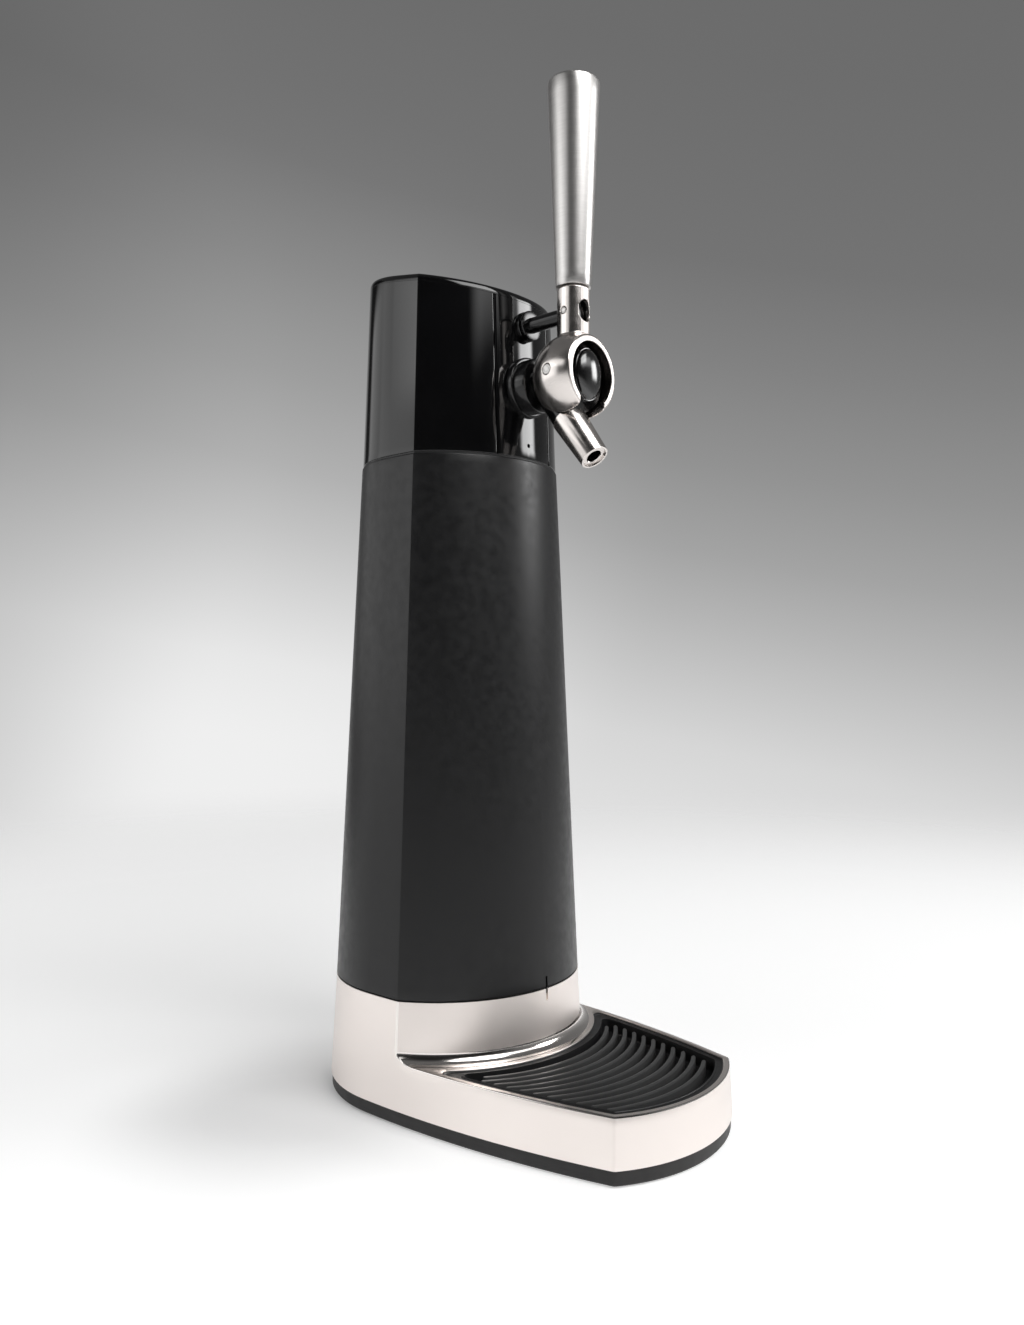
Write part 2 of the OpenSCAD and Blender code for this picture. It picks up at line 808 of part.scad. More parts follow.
module head_top() {
    lip_in = head_wall + fit_gap;
    color(gloss_black) {
        difference() {
            head_block(head_low);
            under_top(lid_t);
        }
        difference() {
            head_block(head_low, lip_in, lid_t - skin);
            head_block(head_low - 1, lip_in + head_wall);
            under_top(lid_t + lip_depth);
            half(-1, head_low, above_top);
        }
    }
}

module head_front_panel() {
    front_y = panel_y(pivot_z);
    color(gloss_black)
        difference() {
            union() {
                intersection() {
                    head_walls();
                    box([-panel_w / 2, nose_y, head_low], [panel_w / 2, bottle_y - front_back, above_top]);
                }
                intersection() {
                    union() {
                        bar_y(front_y, boss_y, boss_d / 2, pivot_z);
                        bar_y(front_y, bracket_front - fit_gap, lip_d / 2, rod_z);
                    }
                    head_block(head_low, head_wall / 2, lid_t + 1);
                }
            }
            bar_y(nose_y, bottle_y, tail_d / 2 + fit_gap, pivot_z);
            bar_y(nose_y, bottle_y, bushing_d / 2 + fit_gap, rod_z);
            bar_y(nose_y, bottle_y, pinhole_d / 2, head_z + pinhole_up);
        }
}

module head_floor() {
    inner = head_wall + fit_gap;
    seam_inset = sleeve_inset(sleeve_high) + shadow_h;
    color(black)
        difference() {
            union() {
                plan_solid(sleeve_high, head_low, seam_inset, seam_inset);
                sleeve_block(sleeve_high - floor_t, head_z, sleeve_wall + fit_gap);
                plan_solid(head_z, floor_top, head_inset(head_z) + inner, head_inset(floor_top) + inner);
            }
            translate([0, bottle_y, head_z - far / 2])
                cylinder(h = far, d = plug_d + 2 * fit_gap);
            translate([pump_x, pump_y, head_z - far / 2])
                cylinder(h = far, d = air_d + 2 * fit_gap);
            for (p = floor_spots)
                translate([p[0], p[1], 0])
                    screw_hole(sleeve_high - floor_t + screw_head_h, floor_top + 1);
        }
}

module floor_screws() {
    color(steel)
        for (p = floor_spots)
            translate([p[0], p[1], 0])
                screw(sleeve_high - floor_t, floor_top + thread_h);
}

module neck_seal() {
    low = sleeve_high - floor_t - plug_len;
    color(rubber)
        difference() {
            union() {
                tube_z(low, floor_top, plug_d / 2, hose_d / 2 + skin);
                tube_z(low, sleeve_high - floor_t, plug_d / 2 + 2, plug_d / 2 - 1);
            }
            translate([0, bottle_y, low - 1])
                cylinder(h = plug_len / 2, r1 = plug_d / 2 + 2, r2 = hose_d / 2);
        }
}

module pickup_tube() {
    color("#d8d8d4")
        tube_z(tube_low, line_z, hose_d / 2, flow_d / 2);
}

// Quarter bend from straight up to straight forward
module bend(r) {
    translate([0, bottle_y - bend_r, line_z])
        rotate([0, -90, 0])
            rotate_extrude(angle = 90)
                translate([bend_r, 0])
                    circle(r);
}

// Hose with a thicker cuff on the tail of the shank
module beer_line() {
    bend_y = bottle_y - bend_r;
    color("#dcdcd6")
        difference() {
            union() {
                bend(hose_d / 2);
                bar_y(tail_end, bend_y + cuff_over, hose_d / 2 + cuff_t, pivot_z);
            }
            bend(flow_d / 2);
            bar_y(tail_end - 1, bend_y, flow_d / 2, pivot_z);
        }
}

module faucet_body() {
    color(gloss_black)
        difference() {
            union() {
                difference() {
                    union() {
                        bar_y(shank_end, boss_y, shank_d / 2, pivot_z);
                        bar_y(panel_y(pivot_z) - collar_t, boss_y, collar_d / 2, pivot_z);
                    }
                    head_block(head_low, -fit_gap);
                }
                bar_y(shank_end, tail_end, tail_d / 2, pivot_z);
                bar_y(pivot_y, shank_end + 1, neck_d / 2, pivot_z);
                intersection() {
                    translate([0, ball_y, pivot_z])
                        sphere(core_r);
                    box([-core_half, ball_y - core_front, pivot_z - far],
                        [core_half, pivot_y + far, pivot_z + far]);
                }
                spout_frame()
                    translate([0, 0, -spout_top])
                        cylinder(h = spout_top, d = elbow_d);
            }
            translate([-far, pivot_y, pivot_z])
                rotate([0, 90, 0])
                    cylinder(h = 2 * far, r = pivot_d / 2 + run_gap);
            bar_y(branch_y, tail_end + 1, flow_d / 2, pivot_z);
            spout_frame()
                translate([0, 0, -spout_top - 1])
                    cylinder(h = spout_top + 1, d = spout_bore);
            spout_frame()
                translate([0, 0, -spout_reach])
                    cylinder(h = spout_len, d = spout_top_d + 2 * fit_gap);
        }
}

module shank_nut() {
    color(steel)
        difference() {
            translate([0, nut_y, pivot_z])
                rotate([-90, 0, 0])
                    cylinder(h = nut_t, d = nut_flats / cos(30), $fn = 6);
            bar_y(nut_y - 1, nut_y + nut_t + 1, tail_d / 2 + fit_gap, pivot_z);
        }
}

module foam_disc() {
    color("#c9b37a")
        difference() {
            bar_y(disc_y, disc_y + disc_t, disc_d / 2, pivot_z);
            bar_y(disc_y - 1, disc_y + disc_t + 1, tail_d / 2 + fit_gap, pivot_z);
        }
}

// Oval plug with a domed front that stands in the round mouth of the tap
module core_cap() {
    rim_y = ball_y - dome_rim;
    front_y = ball_y - core_front;
    color(gloss_black)
        union() {
            intersection() {
                translate([0, rim_y, pivot_z])
                    scale([dome_x, dome_y, dome_z])
                        sphere(1, $fn = 48);
                box([-far, rim_y - far, pivot_z - far], [far, (rim_y + front_y) / 2, pivot_z + far]);
            }
            translate([0, front_y, pivot_z])
                rotate([90, 0, 0])
                    linear_extrude(dome_rim - core_front)
                        scale([dome_x + dome_step, dome_z + dome_step])
                            circle(1, $fn = 48);
        }
}

module spout() {
    lip_r = spout_tip_d / 2 - spout_lip;
    color(nickel)
        spout_frame()
            translate([0, 0, -spout_reach])
                difference() {
                    cylinder(h = spout_len, d1 = spout_tip_d, d2 = spout_top_d);
                    translate([0, 0, -1])
                        cylinder(h = spout_len + 2, d = spout_bore);
                    translate([0, 0, -1])
                        cylinder(h = spout_step + 1, r = lip_r);
                }
}

module rod_bushing() {
    face_y = panel_y(rod_z);
    lip_t = lip_len / 2 - 0.3;
    color(black)
        difference() {
            union() {
                difference() {
                    union() {
                        bar_y(face_y - lip_t, face_y + lip_len, lip_d / 2, rod_z);
                        bar_y(face_y - lip_len, face_y, bushing_d / 2, rod_z);
                        bar_y(face_y - lip_len, face_y - lip_len + lip_t, lip_d / 2, rod_z);
                    }
                    head_block(head_low, -fit_gap);
                }
                bar_y(face_y - 1, pour_y - fit_gap, bushing_d / 2, rod_z);
            }
            bar_y(nose_y, bottle_y, rod_d / 2 + run_gap, rod_z);
        }
}

// U-shaped bracket behind the panel: the bushing clamps its front, its back guides the rod
module switch_bracket() {
    side_x = bracket_x + bracket_t;
    color(charcoal)
        difference() {
            box([-bracket_z, bracket_front, rod_z - bracket_z],
                [side_x, bracket_rear + bracket_t, rod_z + bracket_z]);
            box([-far, pour_y - fit_gap, rod_z - far], [bracket_x, bracket_rear, rod_z + far]);
            bar_y(nose_y, pour_y, bushing_d / 2 + fit_gap, rod_z);
            bar_y(bracket_rear - 1, far, rod_d / 2 + run_gap, rod_z);
            difference() {
                box([-far, nose_y, rod_z - far], [far, far, rod_z + far]);
                under_top(lid_t + 0.5);
            }
        }
}

module switch_body(y) {
    color("#3a3a3d")
        box([switch_x, y, rod_z - switch_h / 2], [bracket_x, y + switch_t, rod_z + switch_h / 2]);
}

module pour_switch() {
    switch_body(pour_y);
}

module foam_switch() {
    switch_body(foam_y);
}

module pump_head() {
    color(charcoal)
        box([pump_x - pump_w / 2, pump_y - pump_w / 2, floor_top],
            [pump_x + pump_w / 2, pump_y + pump_w / 2, floor_top + pump_h]);
}

module pump_motor() {
    color(steel)
        translate([pump_x, pump_y, floor_top + pump_h])
            union() {
                cylinder(h = motor_len, d = motor_d);
                cylinder(h = motor_len + 2, d = motor_d / 3);
            }
}

module air_line() {
    color("#dcdcd6")
        tube_z(sleeve_high - floor_t - air_low, floor_top, air_d / 2, air_d / 4, pump_x, pump_y);
}

module circuit_board() {
    chip = board_z / 4;
    color("#1f5a3a") {
        box([-board_x - board_t, board_front, floor_top],
            [-board_x, board_front + board_y, floor_top + board_z]);
        box([-board_x - board_t, board_front + board_y / 4, floor_top + chip],
            [-board_x + board_t, board_front + board_y * 3 / 4, floor_top + 2 * chip]);
    }
}

module cell_bores(gap) {
    for (k = [0, 1])
        translate([-cell_len / 2 - gap, cell_y, cell_z + k * cell_pitch])
            rotate([0, 90, 0])
                cylinder(h = cell_len + 2 * gap, d = cell_d + 2 * gap);
}

// Block that carries the two batteries, open to the back
module battery_tray() {
    back = cell_y + cell_d / 4;
    color(charcoal)
        difference() {
            box([-tray_half, tray_front, floor_top],
                [tray_half, back, cell_z + cell_pitch + cell_d / 2 + cell_wall]);
            cell_bores(fit_gap);
            for (k = [0, 1])
                box([-cell_len / 2 - fit_gap, cell_y, cell_z + k * cell_pitch - cell_d / 2 - fit_gap],
                    [cell_len / 2 + fit_gap, back + 1, cell_z + k * cell_pitch + cell_d / 2 + fit_gap]);
            box([-tray_half + cell_wall, tray_front + cell_wall, floor_top - 1],
                [tray_half - cell_wall, back + 1, cell_z - cell_d / 2 - cell_wall]);
        }
}

module batteries() {
    color("#8c6a3a")
        cell_bores(0);
}

// Door in the back of the head, with a finger dent
module battery_cover() {
    low_z = head_z + door_up + lift_gap;
    high_z = head_z + door_up + door_h - lift_gap;
    half_w = door_w / 2 - lift_gap;
    dent_z = high_z - dent_r;
    color(gloss_black)
        difference() {
            intersection() {
                head_walls();
                box([-half_w, bottle_y + front_back, low_z], [half_w, bottle_y + far, high_z]);
            }
            translate([0, bottle_y + rear_r - head_inset(dent_z) + dent_r - head_wall / 2, dent_z])
                sphere(dent_r);
        }
}

// Tap lever

module tap_shell() {
    inner_r = ball_r - ball_wall;
    half_slot = yoke_w / 2;
    color(nickel)
        difference() {
            union() {
                translate([0, ball_y, pivot_z])
                    sphere(ball_r);
                translate([0, pivot_y, pivot_z])
                    cylinder(h = ferrule_len, d = ferrule_d);
            }
            translate([0, ball_y, pivot_z])
                sphere(inner_r);
            box([-far, ball_y - far, pivot_z - far], [far, ball_y - face_cut, pivot_z + ball_r - 1]);
            box([-half_slot, pivot_y - far, pivot_z - far],
                [half_slot, pivot_y + far, pivot_z - ball_r / 3]);
            box([-half_slot, pivot_y, pivot_z - far], [half_slot, pivot_y + far, pivot_z + yoke_h]);
            rod_slot();
            translate([0, pivot_y, stud_bottom])
                cylinder(h = far, d = stud_d);
            translate([-far, pivot_y, pivot_z])
                rotate([0, 90, 0])
                    cylinder(h = 2 * far, d = pivot_d);
            translate([-far, pivot_y, rod_z])
                rotate([0, 90, 0])
                    cylinder(h = 2 * far, d = rod_pin_d);
        }
}

// Upright slot through the ferrule, larger behind, where the rod tilts in it
module rod_slot() {
    slot_y(rod_nose - 1, pivot_y + far, rod_slot_w, rod_slot_h);
    slot_y(pivot_y - far, pivot_y, sight_w, sight_h);
}

module slot_y(y0, y1, w, h) {
    straight = h - w;
    for (s = [-1, 1])
        bar_y(y0, y1, w / 2, rod_z + s * straight / 2);
    box([-w / 2, y0, rod_z - straight / 2], [w / 2, y1, rod_z + straight / 2]);
}

module pivot_pins() {
    head_x = ball_r - 0.3;
    reach = core_half / 2;
    color(steel)
        for (s = [-1, 1])
            translate([s * (head_x + reach) / 2, pivot_y, pivot_z])
                rotate([0, 90, 0])
                    cylinder(h = head_x - reach, d = pivot_d, center = true);
}

module rod_pin() {
    color(steel)
        translate([0, pivot_y, rod_z])
            rotate([0, 90, 0])
                cylinder(h = ferrule_d - 0.3, d = rod_pin_d, center = true);
}

module handle_stud() {
    color(steel)
        translate([0, pivot_y, stud_bottom])
            cylinder(h = stud_low + handle_gap + stud_high, d = stud_d);
}

module tap_handle() {
    top_r = handle_top_d / 2;
    color(steel)
        difference() {
            translate([0, pivot_y, handle_low])
                rotate_extrude()
                    union() {
                        polygon([[0, 0], [handle_low_d / 2, 0], [top_r, handle_len - handle_round],
                            [top_r - handle_round, handle_len], [0, handle_len]]);
                        intersection() {
                            translate([top_r - handle_round, handle_len - handle_round])
                                circle(handle_round);
                            square([top_r, handle_len]);
                        }
                    }
            translate([0, pivot_y, handle_low - 1])
                cylinder(h = stud_high + 1, d = stud_d);
        }
}

// Push rod

module push_rod() {
    eye_r = rod_pin_d / 2 + eye_play;
    color(gloss_black)
        difference() {
            bar_y(rod_nose, rod_rear, rod_d / 2, rod_z);
            for (drop = [0, eye_drop])
                translate([-far, pivot_y, rod_z - drop])
                    rotate([0, 90, 0])
                        cylinder(h = 2 * far, r = eye_r);
            box([-far, pivot_y - eye_r, rod_z - eye_drop], [far, pivot_y + eye_r, rod_z]);
        }
}

module rod_cam() {
    color("#8a8a8c")
        difference() {
            bar_y(cam_y, cam_y + cam_t, cam_r, rod_z);
            bar_y(cam_y - 1, cam_y + cam_t + 1, rod_d / 2, rod_z);
        }
}

module return_springs() {
    color(steel) {
        coil(pour_y, cam_y);
        coil(cam_y + cam_t, bracket_rear);
    }
}

rubber_feet();
foot_plinth();
base_screws();
base_shell();
bottle_pad();
base_gasket();
drip_tray();
tower_sleeve();
head_shell();
head_top();
head_front_panel();
head_floor();
floor_screws();
neck_seal();
pickup_tube();
beer_line();
faucet_body();
shank_nut();
core_cap();
spout();
rod_bushing();
switch_bracket();
pour_switch();
foam_switch();
foam_disc();
pump_motor();
pump_head();
air_line();
circuit_board();
battery_tray();
batteries();
battery_cover();
tap_shell();
pivot_pins();
rod_pin();
handle_stud();
tap_handle();
push_rod();
rod_cam();
return_springs();
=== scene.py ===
import math

import bmesh
import bpy
import numpy as np
from mathutils import Matrix, Vector


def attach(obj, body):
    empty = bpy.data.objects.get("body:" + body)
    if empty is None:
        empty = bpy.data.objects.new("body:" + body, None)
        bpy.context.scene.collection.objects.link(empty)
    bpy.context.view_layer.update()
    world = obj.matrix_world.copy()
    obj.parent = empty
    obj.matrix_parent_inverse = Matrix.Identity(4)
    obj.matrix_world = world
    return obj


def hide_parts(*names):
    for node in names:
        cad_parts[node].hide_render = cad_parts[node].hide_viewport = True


# Can and bottle beer dispenser: finer skins, materials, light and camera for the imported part.
# Lengths are millimetres in the part's own frame until a mesh is made.
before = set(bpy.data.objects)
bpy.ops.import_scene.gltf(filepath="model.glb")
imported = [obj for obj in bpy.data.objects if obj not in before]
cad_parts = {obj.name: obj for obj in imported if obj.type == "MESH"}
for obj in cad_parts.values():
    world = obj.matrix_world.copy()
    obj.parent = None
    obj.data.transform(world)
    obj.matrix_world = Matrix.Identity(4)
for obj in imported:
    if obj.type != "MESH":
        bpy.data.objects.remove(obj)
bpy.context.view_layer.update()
MM = 0.001
TAU = 2 * math.pi
HALF_PI = math.pi / 2
# Turn of the direction that points to the front
FRONT_TURN = 1.5 * math.pi

# Outline
REAR_R = 55.6
SIDE_R = 400.0
FRONT_R = 61.8
FRONT_BACK = 9.5
NOSE_R = 65.3
NOSE_REACH = 125.9
BOTTLE_Y = (NOSE_REACH - REAR_R) / 2
NOSE_Y = BOTTLE_Y - NOSE_REACH
REAR_C = np.array([0.0, BOTTLE_Y])
SIDE_C = np.array([SIDE_R - REAR_R, BOTTLE_Y])
FRONT_C = np.array([0.0, BOTTLE_Y + FRONT_BACK])
NOSE_C = np.array([0.0, NOSE_Y + NOSE_R])
PLAN_FILLET = 0.8

# Heights and drafts
FOOT_H = 0.6
PLINTH_TOP = 6.2
RIM_Z = 24.4
SEAM_Z = 47.8
HEAD_Z = 266.3
TOP_Z = 342.7
SLOPE = math.radians(10.6)
BASE_LEAN = math.tan(math.radians(3.1))
SLEEVE_LEAN = math.tan(math.radians(2.62))
HEAD_LEAN = math.tan(math.radians(2.0))
SLEEVE_LOW = SEAM_Z + 0.4
SLEEVE_HIGH = HEAD_Z - 0.3
HEAD_LOW = HEAD_Z + 0.3
HEAD_STEP = 0.3
LID_T = 3.0
WALL = 2.5

# The skins lie this far inside the solids, so that they stay in the part's box
SKIN = 0.03

# Numbers of steps along the arcs
REAR_N = 24
SIDE_N = 16
FILLET_N = 4
FRONT_N = 28
ROUND_N = 4


def base_inset(z):
    return SKIN + (z - PLINTH_TOP) * BASE_LEAN


def sleeve_inset(z):
    return base_inset(SEAM_Z) + (z - SEAM_Z) * SLEEVE_LEAN


def head_inset(z):
    return sleeve_inset(HEAD_Z) + HEAD_STEP + (z - HEAD_Z) * HEAD_LEAN


def top_at(y, drop=0.0):
    return TOP_Z - drop + (y - BOTTLE_Y) * math.tan(SLOPE)


def panel_y(z):
    return FRONT_C[1] - FRONT_R + head_inset(z)


# Plan geometry

def unit(v):
    return v / np.hypot(*v)


def units(rows):
    return rows / np.linalg.norm(rows, axis=1)[:, None]


def meet(c1, r1, c2, r2):
    """The crossing of two circles that lies farther forward."""
    d = c2 - c1
    length = np.hypot(*d)
    a = (r1 * r1 - r2 * r2 + length * length) / (2 * length)
    h = math.sqrt(max(r1 * r1 - a * a, 0.0))
    m = c1 + a * d / length
    p = np.array([-d[1], d[0]]) * h / length
    return min(m + p, m - p, key=lambda q: q[1])


def turn_of(c, p):
    return math.atan2(p[1] - c[1], p[0] - c[0]) % TAU


def on_circle(c, r, turns):
    return np.stack([c[0] + r * np.cos(turns), c[1] + r * np.sin(turns)], 1)


def arc(c, r, a0, a1, n):
    return on_circle(c, r, np.linspace(a0, a1, n + 1))


def at_x(c, r, x, way):
    """Points at x on a circle, at its back (way 1) or its front (way -1)."""
    return np.column_stack([x, c[1] + way * np.sqrt(r * r - x * x)])


def joined(*runs):
    """Runs of points, each starting where the last one ended."""
    return np.concatenate([runs[0]] + [r[1:] for r in runs[1:]])


def mirrored(points):
    flip = np.array(points, float)
    flip[:, 0] = -flip[:, 0]
    return flip[::-1]


def whole(half):
    """Closed outline from a left half that starts and ends on the middle plane."""
    return np.concatenate([half, mirrored(half)[1:-1]])


def both_sides(path):
    """A path that ends on the middle plane, and its mirror image."""
    return np.concatenate([path, mirrored(path)[1:]])


def side_to_front(inset, start, front_c, front_r, fillet, n_side, n_fillet):
    """Left side from a turn on its arc to a front arc, with the corner between the two rounded.
    Gives the points and the turn on the front arc where they end."""
    side_r = SIDE_R - inset
    c = meet(SIDE_C, side_r - fillet, front_c, front_r - fillet)
    t1, t2 = turn_of(SIDE_C, c), turn_of(front_c, c)
    return joined(arc(SIDE_C, side_r, start, t1, n_side), arc(c, fillet, t1, t2, n_fillet)), t2


def half_plan(inset, nose=False, fillet=PLAN_FILLET, front_x=0.0):
    """Left half of the outline, from the middle of the back to x = -front_x on the front."""
    front_c, front_r = (NOSE_C, NOSE_R - inset) if nose else (FRONT_C, FRONT_R - inset)
    rear = arc(REAR_C, REAR_R - inset, HALF_PI, math.pi, REAR_N)
    side, turn = side_to_front(inset, math.pi, front_c, front_r, fillet, SIDE_N, FILLET_N)
    front = arc(front_c, front_r, turn, math.pi + math.acos(front_x / front_r), FRONT_N)
    return joined(rear, side, front)


def plan(inset, nose=False, fillet=PLAN_FILLET):
    """Closed outline, running from the back over the left side to the front and on."""
    return whole(half_plan(inset, nose, fillet))


def at_z(points, z):
    z = np.broadcast_to(np.asarray(z, float), (len(points),))
    return np.column_stack([points, z])


# Meshes

# In metres: points closer than this are one, and shorter edges are dropped
WELD = 2e-6
LEAST_EDGE = 1e-7


class Build:
    """Collects points and faces in millimetres and makes one object of them."""

    def __init__(self):
        self.points = []
        self.faces = []
        self.slots = []
        self.count = 0

    def add(self, points):
        points = np.asarray(points, float).reshape(-1, 3)
        start = self.count
        self.points.append(points)
        self.count += len(points)
        return start

    def face(self, corners, mat=0):
        clean = [c for i, c in enumerate(corners) if c != corners[i - 1]]
        if len(set(clean)) > 2:
            self.faces.append(clean)
            self.slots.append(mat)

    def grid(self, rows, closed=False, mat=0, keep=None):
        """Quads between rows of points; closed joins the last column to the first."""
        rows = np.asarray(rows, float)
        n_row, n_col = rows.shape[:2]
        start = self.add(rows)
        for r in range(n_row - 1):
            for c in range(n_col if closed else n_col - 1):
                if keep is not None and not keep(r, c):
                    continue
                d = (c + 1) % n_col
                a = start + r * n_col
                b = a + n_col
                self.face([a + c, a + d, b + d, b + c], mat)

    def cap(self, points, mat=0):
        start = self.add(points)
        self.face(list(range(start, start + len(points))), mat)

    def lathe(self, profile, matrix, n, mat=0):
        """Turns (radius, height) points about Z and moves them by the matrix."""
        a = np.arange(n) * TAU / n
        rows = [np.column_stack([r * np.cos(a), r * np.sin(a), np.full(n, h)]) for r, h in profile]
        m = np.array(matrix)
        self.grid(np.array(rows) @ m[:3, :3].T + m[:3, 3], True, mat)

    def make(self, name, materials, sharp):
        """Makes the object; edges that turn by more than sharp degrees stay sharp."""
        points = np.concatenate(self.points) * MM
        mesh = bpy.data.meshes.new(name)
        mesh.from_pydata(points.tolist(), [], self.faces)
        for m in materials:
            mesh.materials.append(m)
        mesh.polygons.foreach_set("material_index", self.slots)
        bm = bmesh.new()
        bm.from_mesh(mesh)
        bmesh.ops.remove_doubles(bm, verts=bm.verts, dist=WELD)
        bmesh.ops.dissolve_degenerate(bm, edges=bm.edges, dist=LEAST_EDGE)
        bmesh.ops.recalc_face_normals(bm, faces=bm.faces)
        bm.to_mesh(mesh)
        bm.free()
        mesh.polygons.foreach_set("use_smooth", [True] * len(mesh.polygons))
        mesh.set_sharp_from_angle(angle=math.radians(sharp))
        obj = bpy.data.objects.new(name, mesh)
        bpy.context.scene.collection.objects.link(obj)
        return obj


def bridge(build, outer, inner):
    """Triangles between two closed loops with different numbers of points, walked side by side."""
    near = np.argmin(np.linalg.norm(inner[:, :2] - outer[0, :2], axis=1))
    inner = np.roll(inner, -near, axis=0)
    i0 = build.add(outer)
    j0 = build.add(inner)
    n, m = len(outer), len(inner)
    i = j = 0
    while i < n or j < m:
        a, b = outer[i % n], inner[j % m]
        step_i = np.linalg.norm(outer[(i + 1) % n] - b) if i < n else math.inf
        step_j = np.linalg.norm(inner[(j + 1) % m] - a) if j < m else math.inf
        if step_i <= step_j:
            build.face([i0 + i % n, i0 + (i + 1) % n, j0 + j % m])
            i += 1
        else:
            build.face([i0 + i % n, j0 + (j + 1) % m, j0 + j % m])
            j += 1


def close_edges(build, outer, inner):
    """Joins the four edges of an outer and an inner sheet of points."""
    for r in (0, -1):
        build.grid([outer[r], inner[r]])
    for c in (0, -1):
        build.grid([outer[:, c], inner[:, c]])


def rounded(r):
    """Quarter circle of an outside edge: pairs of inset and distance from the edge."""
    turns = np.linspace(0, HALF_PI, ROUND_N + 1)
    return [(r * (1 - math.sin(t)), r * (1 - math.cos(t))) for t in turns]


def place(obj, body, slot, *nodes):
    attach(obj, body)
    if nodes:
        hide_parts(*nodes)


# Materials

# The middle part of a noise, which is stretched to the full range of colour or gloss
NOISE_SPAN = (0.3, 0.7)
LEAST_ROUGH = 0.02
QUARTER_TURN = 0.25


def srgb(*rgb):
    """Linear colour of sRGB levels from 0 to 255."""
    linear = [c / 255 / 12.92 if c <= 10 else ((c / 255 + 0.055) / 1.055) ** 2.4 for c in rgb]
    return (*linear, 1.0)


def shade(colour, factor):
    return tuple(min(c * factor, 1.0) for c in colour[:3]) + (1.0,)


def fill(tree, socket, value):
    """Links another node's output to a socket, or puts a plain value in it."""
    if isinstance(value, bpy.types.NodeSocket):
        tree.links.new(value, socket)
    else:
        socket.default_value = value


def node(tree, kind, **inputs):
    """A shader node with its inputs filled; an underscore in a name stands for a space."""
    made = tree.nodes.new("ShaderNode" + kind)
    for name, value in inputs.items():
        fill(tree, made.inputs[name.replace("_", " ")], value)
    return made


def empty_tree(owner):
    """Node tree of a new material or world, with nothing in it."""
    owner.use_nodes = True
    owner.node_tree.nodes.clear()
    return owner.node_tree


def finish_of(name, colour, metallic, rough, mottle=0.05, mottle_scale=60.0, rough_span=0.05,
              rough_scale=250.0, bump=0.05, bump_scale=2500.0, bump_depth=0.02, stretch=(1, 1, 1),
              specular=0.5, brushed=0.0):
    """A surface with mottled colour, uneven gloss, a fine relief and, if asked, a brushed sheen."""
    mat = bpy.data.materials.new(name)
    tree = empty_tree(mat)
    coords = node(tree, "TexCoord").outputs["Object"]
    spot = node(tree, "Mapping", Vector=coords, Scale=stretch).outputs["Vector"]

    def noise(scale, detail):
        return node(tree, "TexNoise", Vector=spot, Scale=scale, Detail=detail).outputs["Fac"]

    ramp = node(tree, "ValToRGB", Fac=noise(mottle_scale, 3.0))
    for element, at, factor in zip(ramp.color_ramp.elements, NOISE_SPAN, (1 - mottle, 1 + mottle)):
        element.position = at
        element.color = shade(colour, factor)
    gloss = node(tree, "MapRange", Value=noise(rough_scale, 2.0), From_Min=NOISE_SPAN[0],
                 From_Max=NOISE_SPAN[1], To_Min=max(rough - rough_span, LEAST_ROUGH),
                 To_Max=rough + rough_span)
    relief = node(tree, "Bump", Height=noise(bump_scale, 2.0), Strength=bump, Distance=bump_depth * MM)
    sheen = {}
    if brushed:
        around = node(tree, "Tangent")
        around.direction_type = "RADIAL"
        around.axis = "Z"
        sheen = {"Tangent": around.outputs["Tangent"], "Anisotropic": brushed,
                 "Anisotropic Rotation": QUARTER_TURN}
    bsdf = node(tree, "BsdfPrincipled", Metallic=metallic, Specular_IOR_Level=specular,
                Base_Color=ramp.outputs["Color"], Roughness=gloss.outputs["Result"],
                Normal=relief.outputs["Normal"], **sheen)
    node(tree, "OutputMaterial", Surface=bsdf.outputs["BSDF"])
    return mat


NICKEL = finish_of("satin_nickel", srgb(247, 239, 234), 1.0, 0.37, mottle=0.006, mottle_scale=25,
                   rough_span=0.012, rough_scale=60, bump=0.01, bump_scale=3500, bump_depth=0.01,
                   brushed=0.35)
POLISH = finish_of("polished_nickel", srgb(236, 231, 227), 1.0, 0.13, mottle=0.008, mottle_scale=30,
                   rough_span=0.015, rough_scale=80, bump=0.01, bump_scale=3000, bump_depth=0.01)
TAP_NICKEL = finish_of("tap_nickel", srgb(222, 216, 212), 1.0, 0.21, mottle=0.03, rough_span=0.04,
                       bump=0.03, bump_scale=4000, bump_depth=0.01)
RING_NICKEL = finish_of("ring_nickel", srgb(222, 216, 212), 1.0, 0.42, mottle=0.03, rough_span=0.03,
                        bump=0.03, bump_scale=4000, bump_depth=0.01)
STEEL = finish_of("brushed_steel", srgb(205, 203, 201), 1.0, 0.33, mottle=0.05, mottle_scale=180,
                  rough_span=0.04, bump=0.06, bump_scale=900, bump_depth=0.01, stretch=(1, 1, 14))
CHARCOAL = finish_of("soft_charcoal", srgb(18, 18, 19), 0.0, 0.38, mottle=0.05, mottle_scale=35,
                     rough_span=0.05, bump=0.5, bump_scale=2600, bump_depth=0.03, specular=0.4)
DOME_GLOSS = finish_of("dome_gloss", srgb(12, 12, 13), 0.0, 0.15, mottle=0.15, rough_span=0.02,
                       rough_scale=60, bump=0.03, bump_scale=200, bump_depth=0.02, specular=1.0)
GLOSS = finish_of("gloss_black", srgb(11, 11, 12), 0.0, 0.07, mottle=0.15, rough_span=0.02,
                  rough_scale=40, bump=0.04, bump_scale=90, bump_depth=0.03)
PLINTH = finish_of("plinth_black", srgb(44, 43, 43), 0.0, 0.55, mottle=0.08, bump=0.5, bump_scale=2400,
                   bump_depth=0.03, specular=0.4)
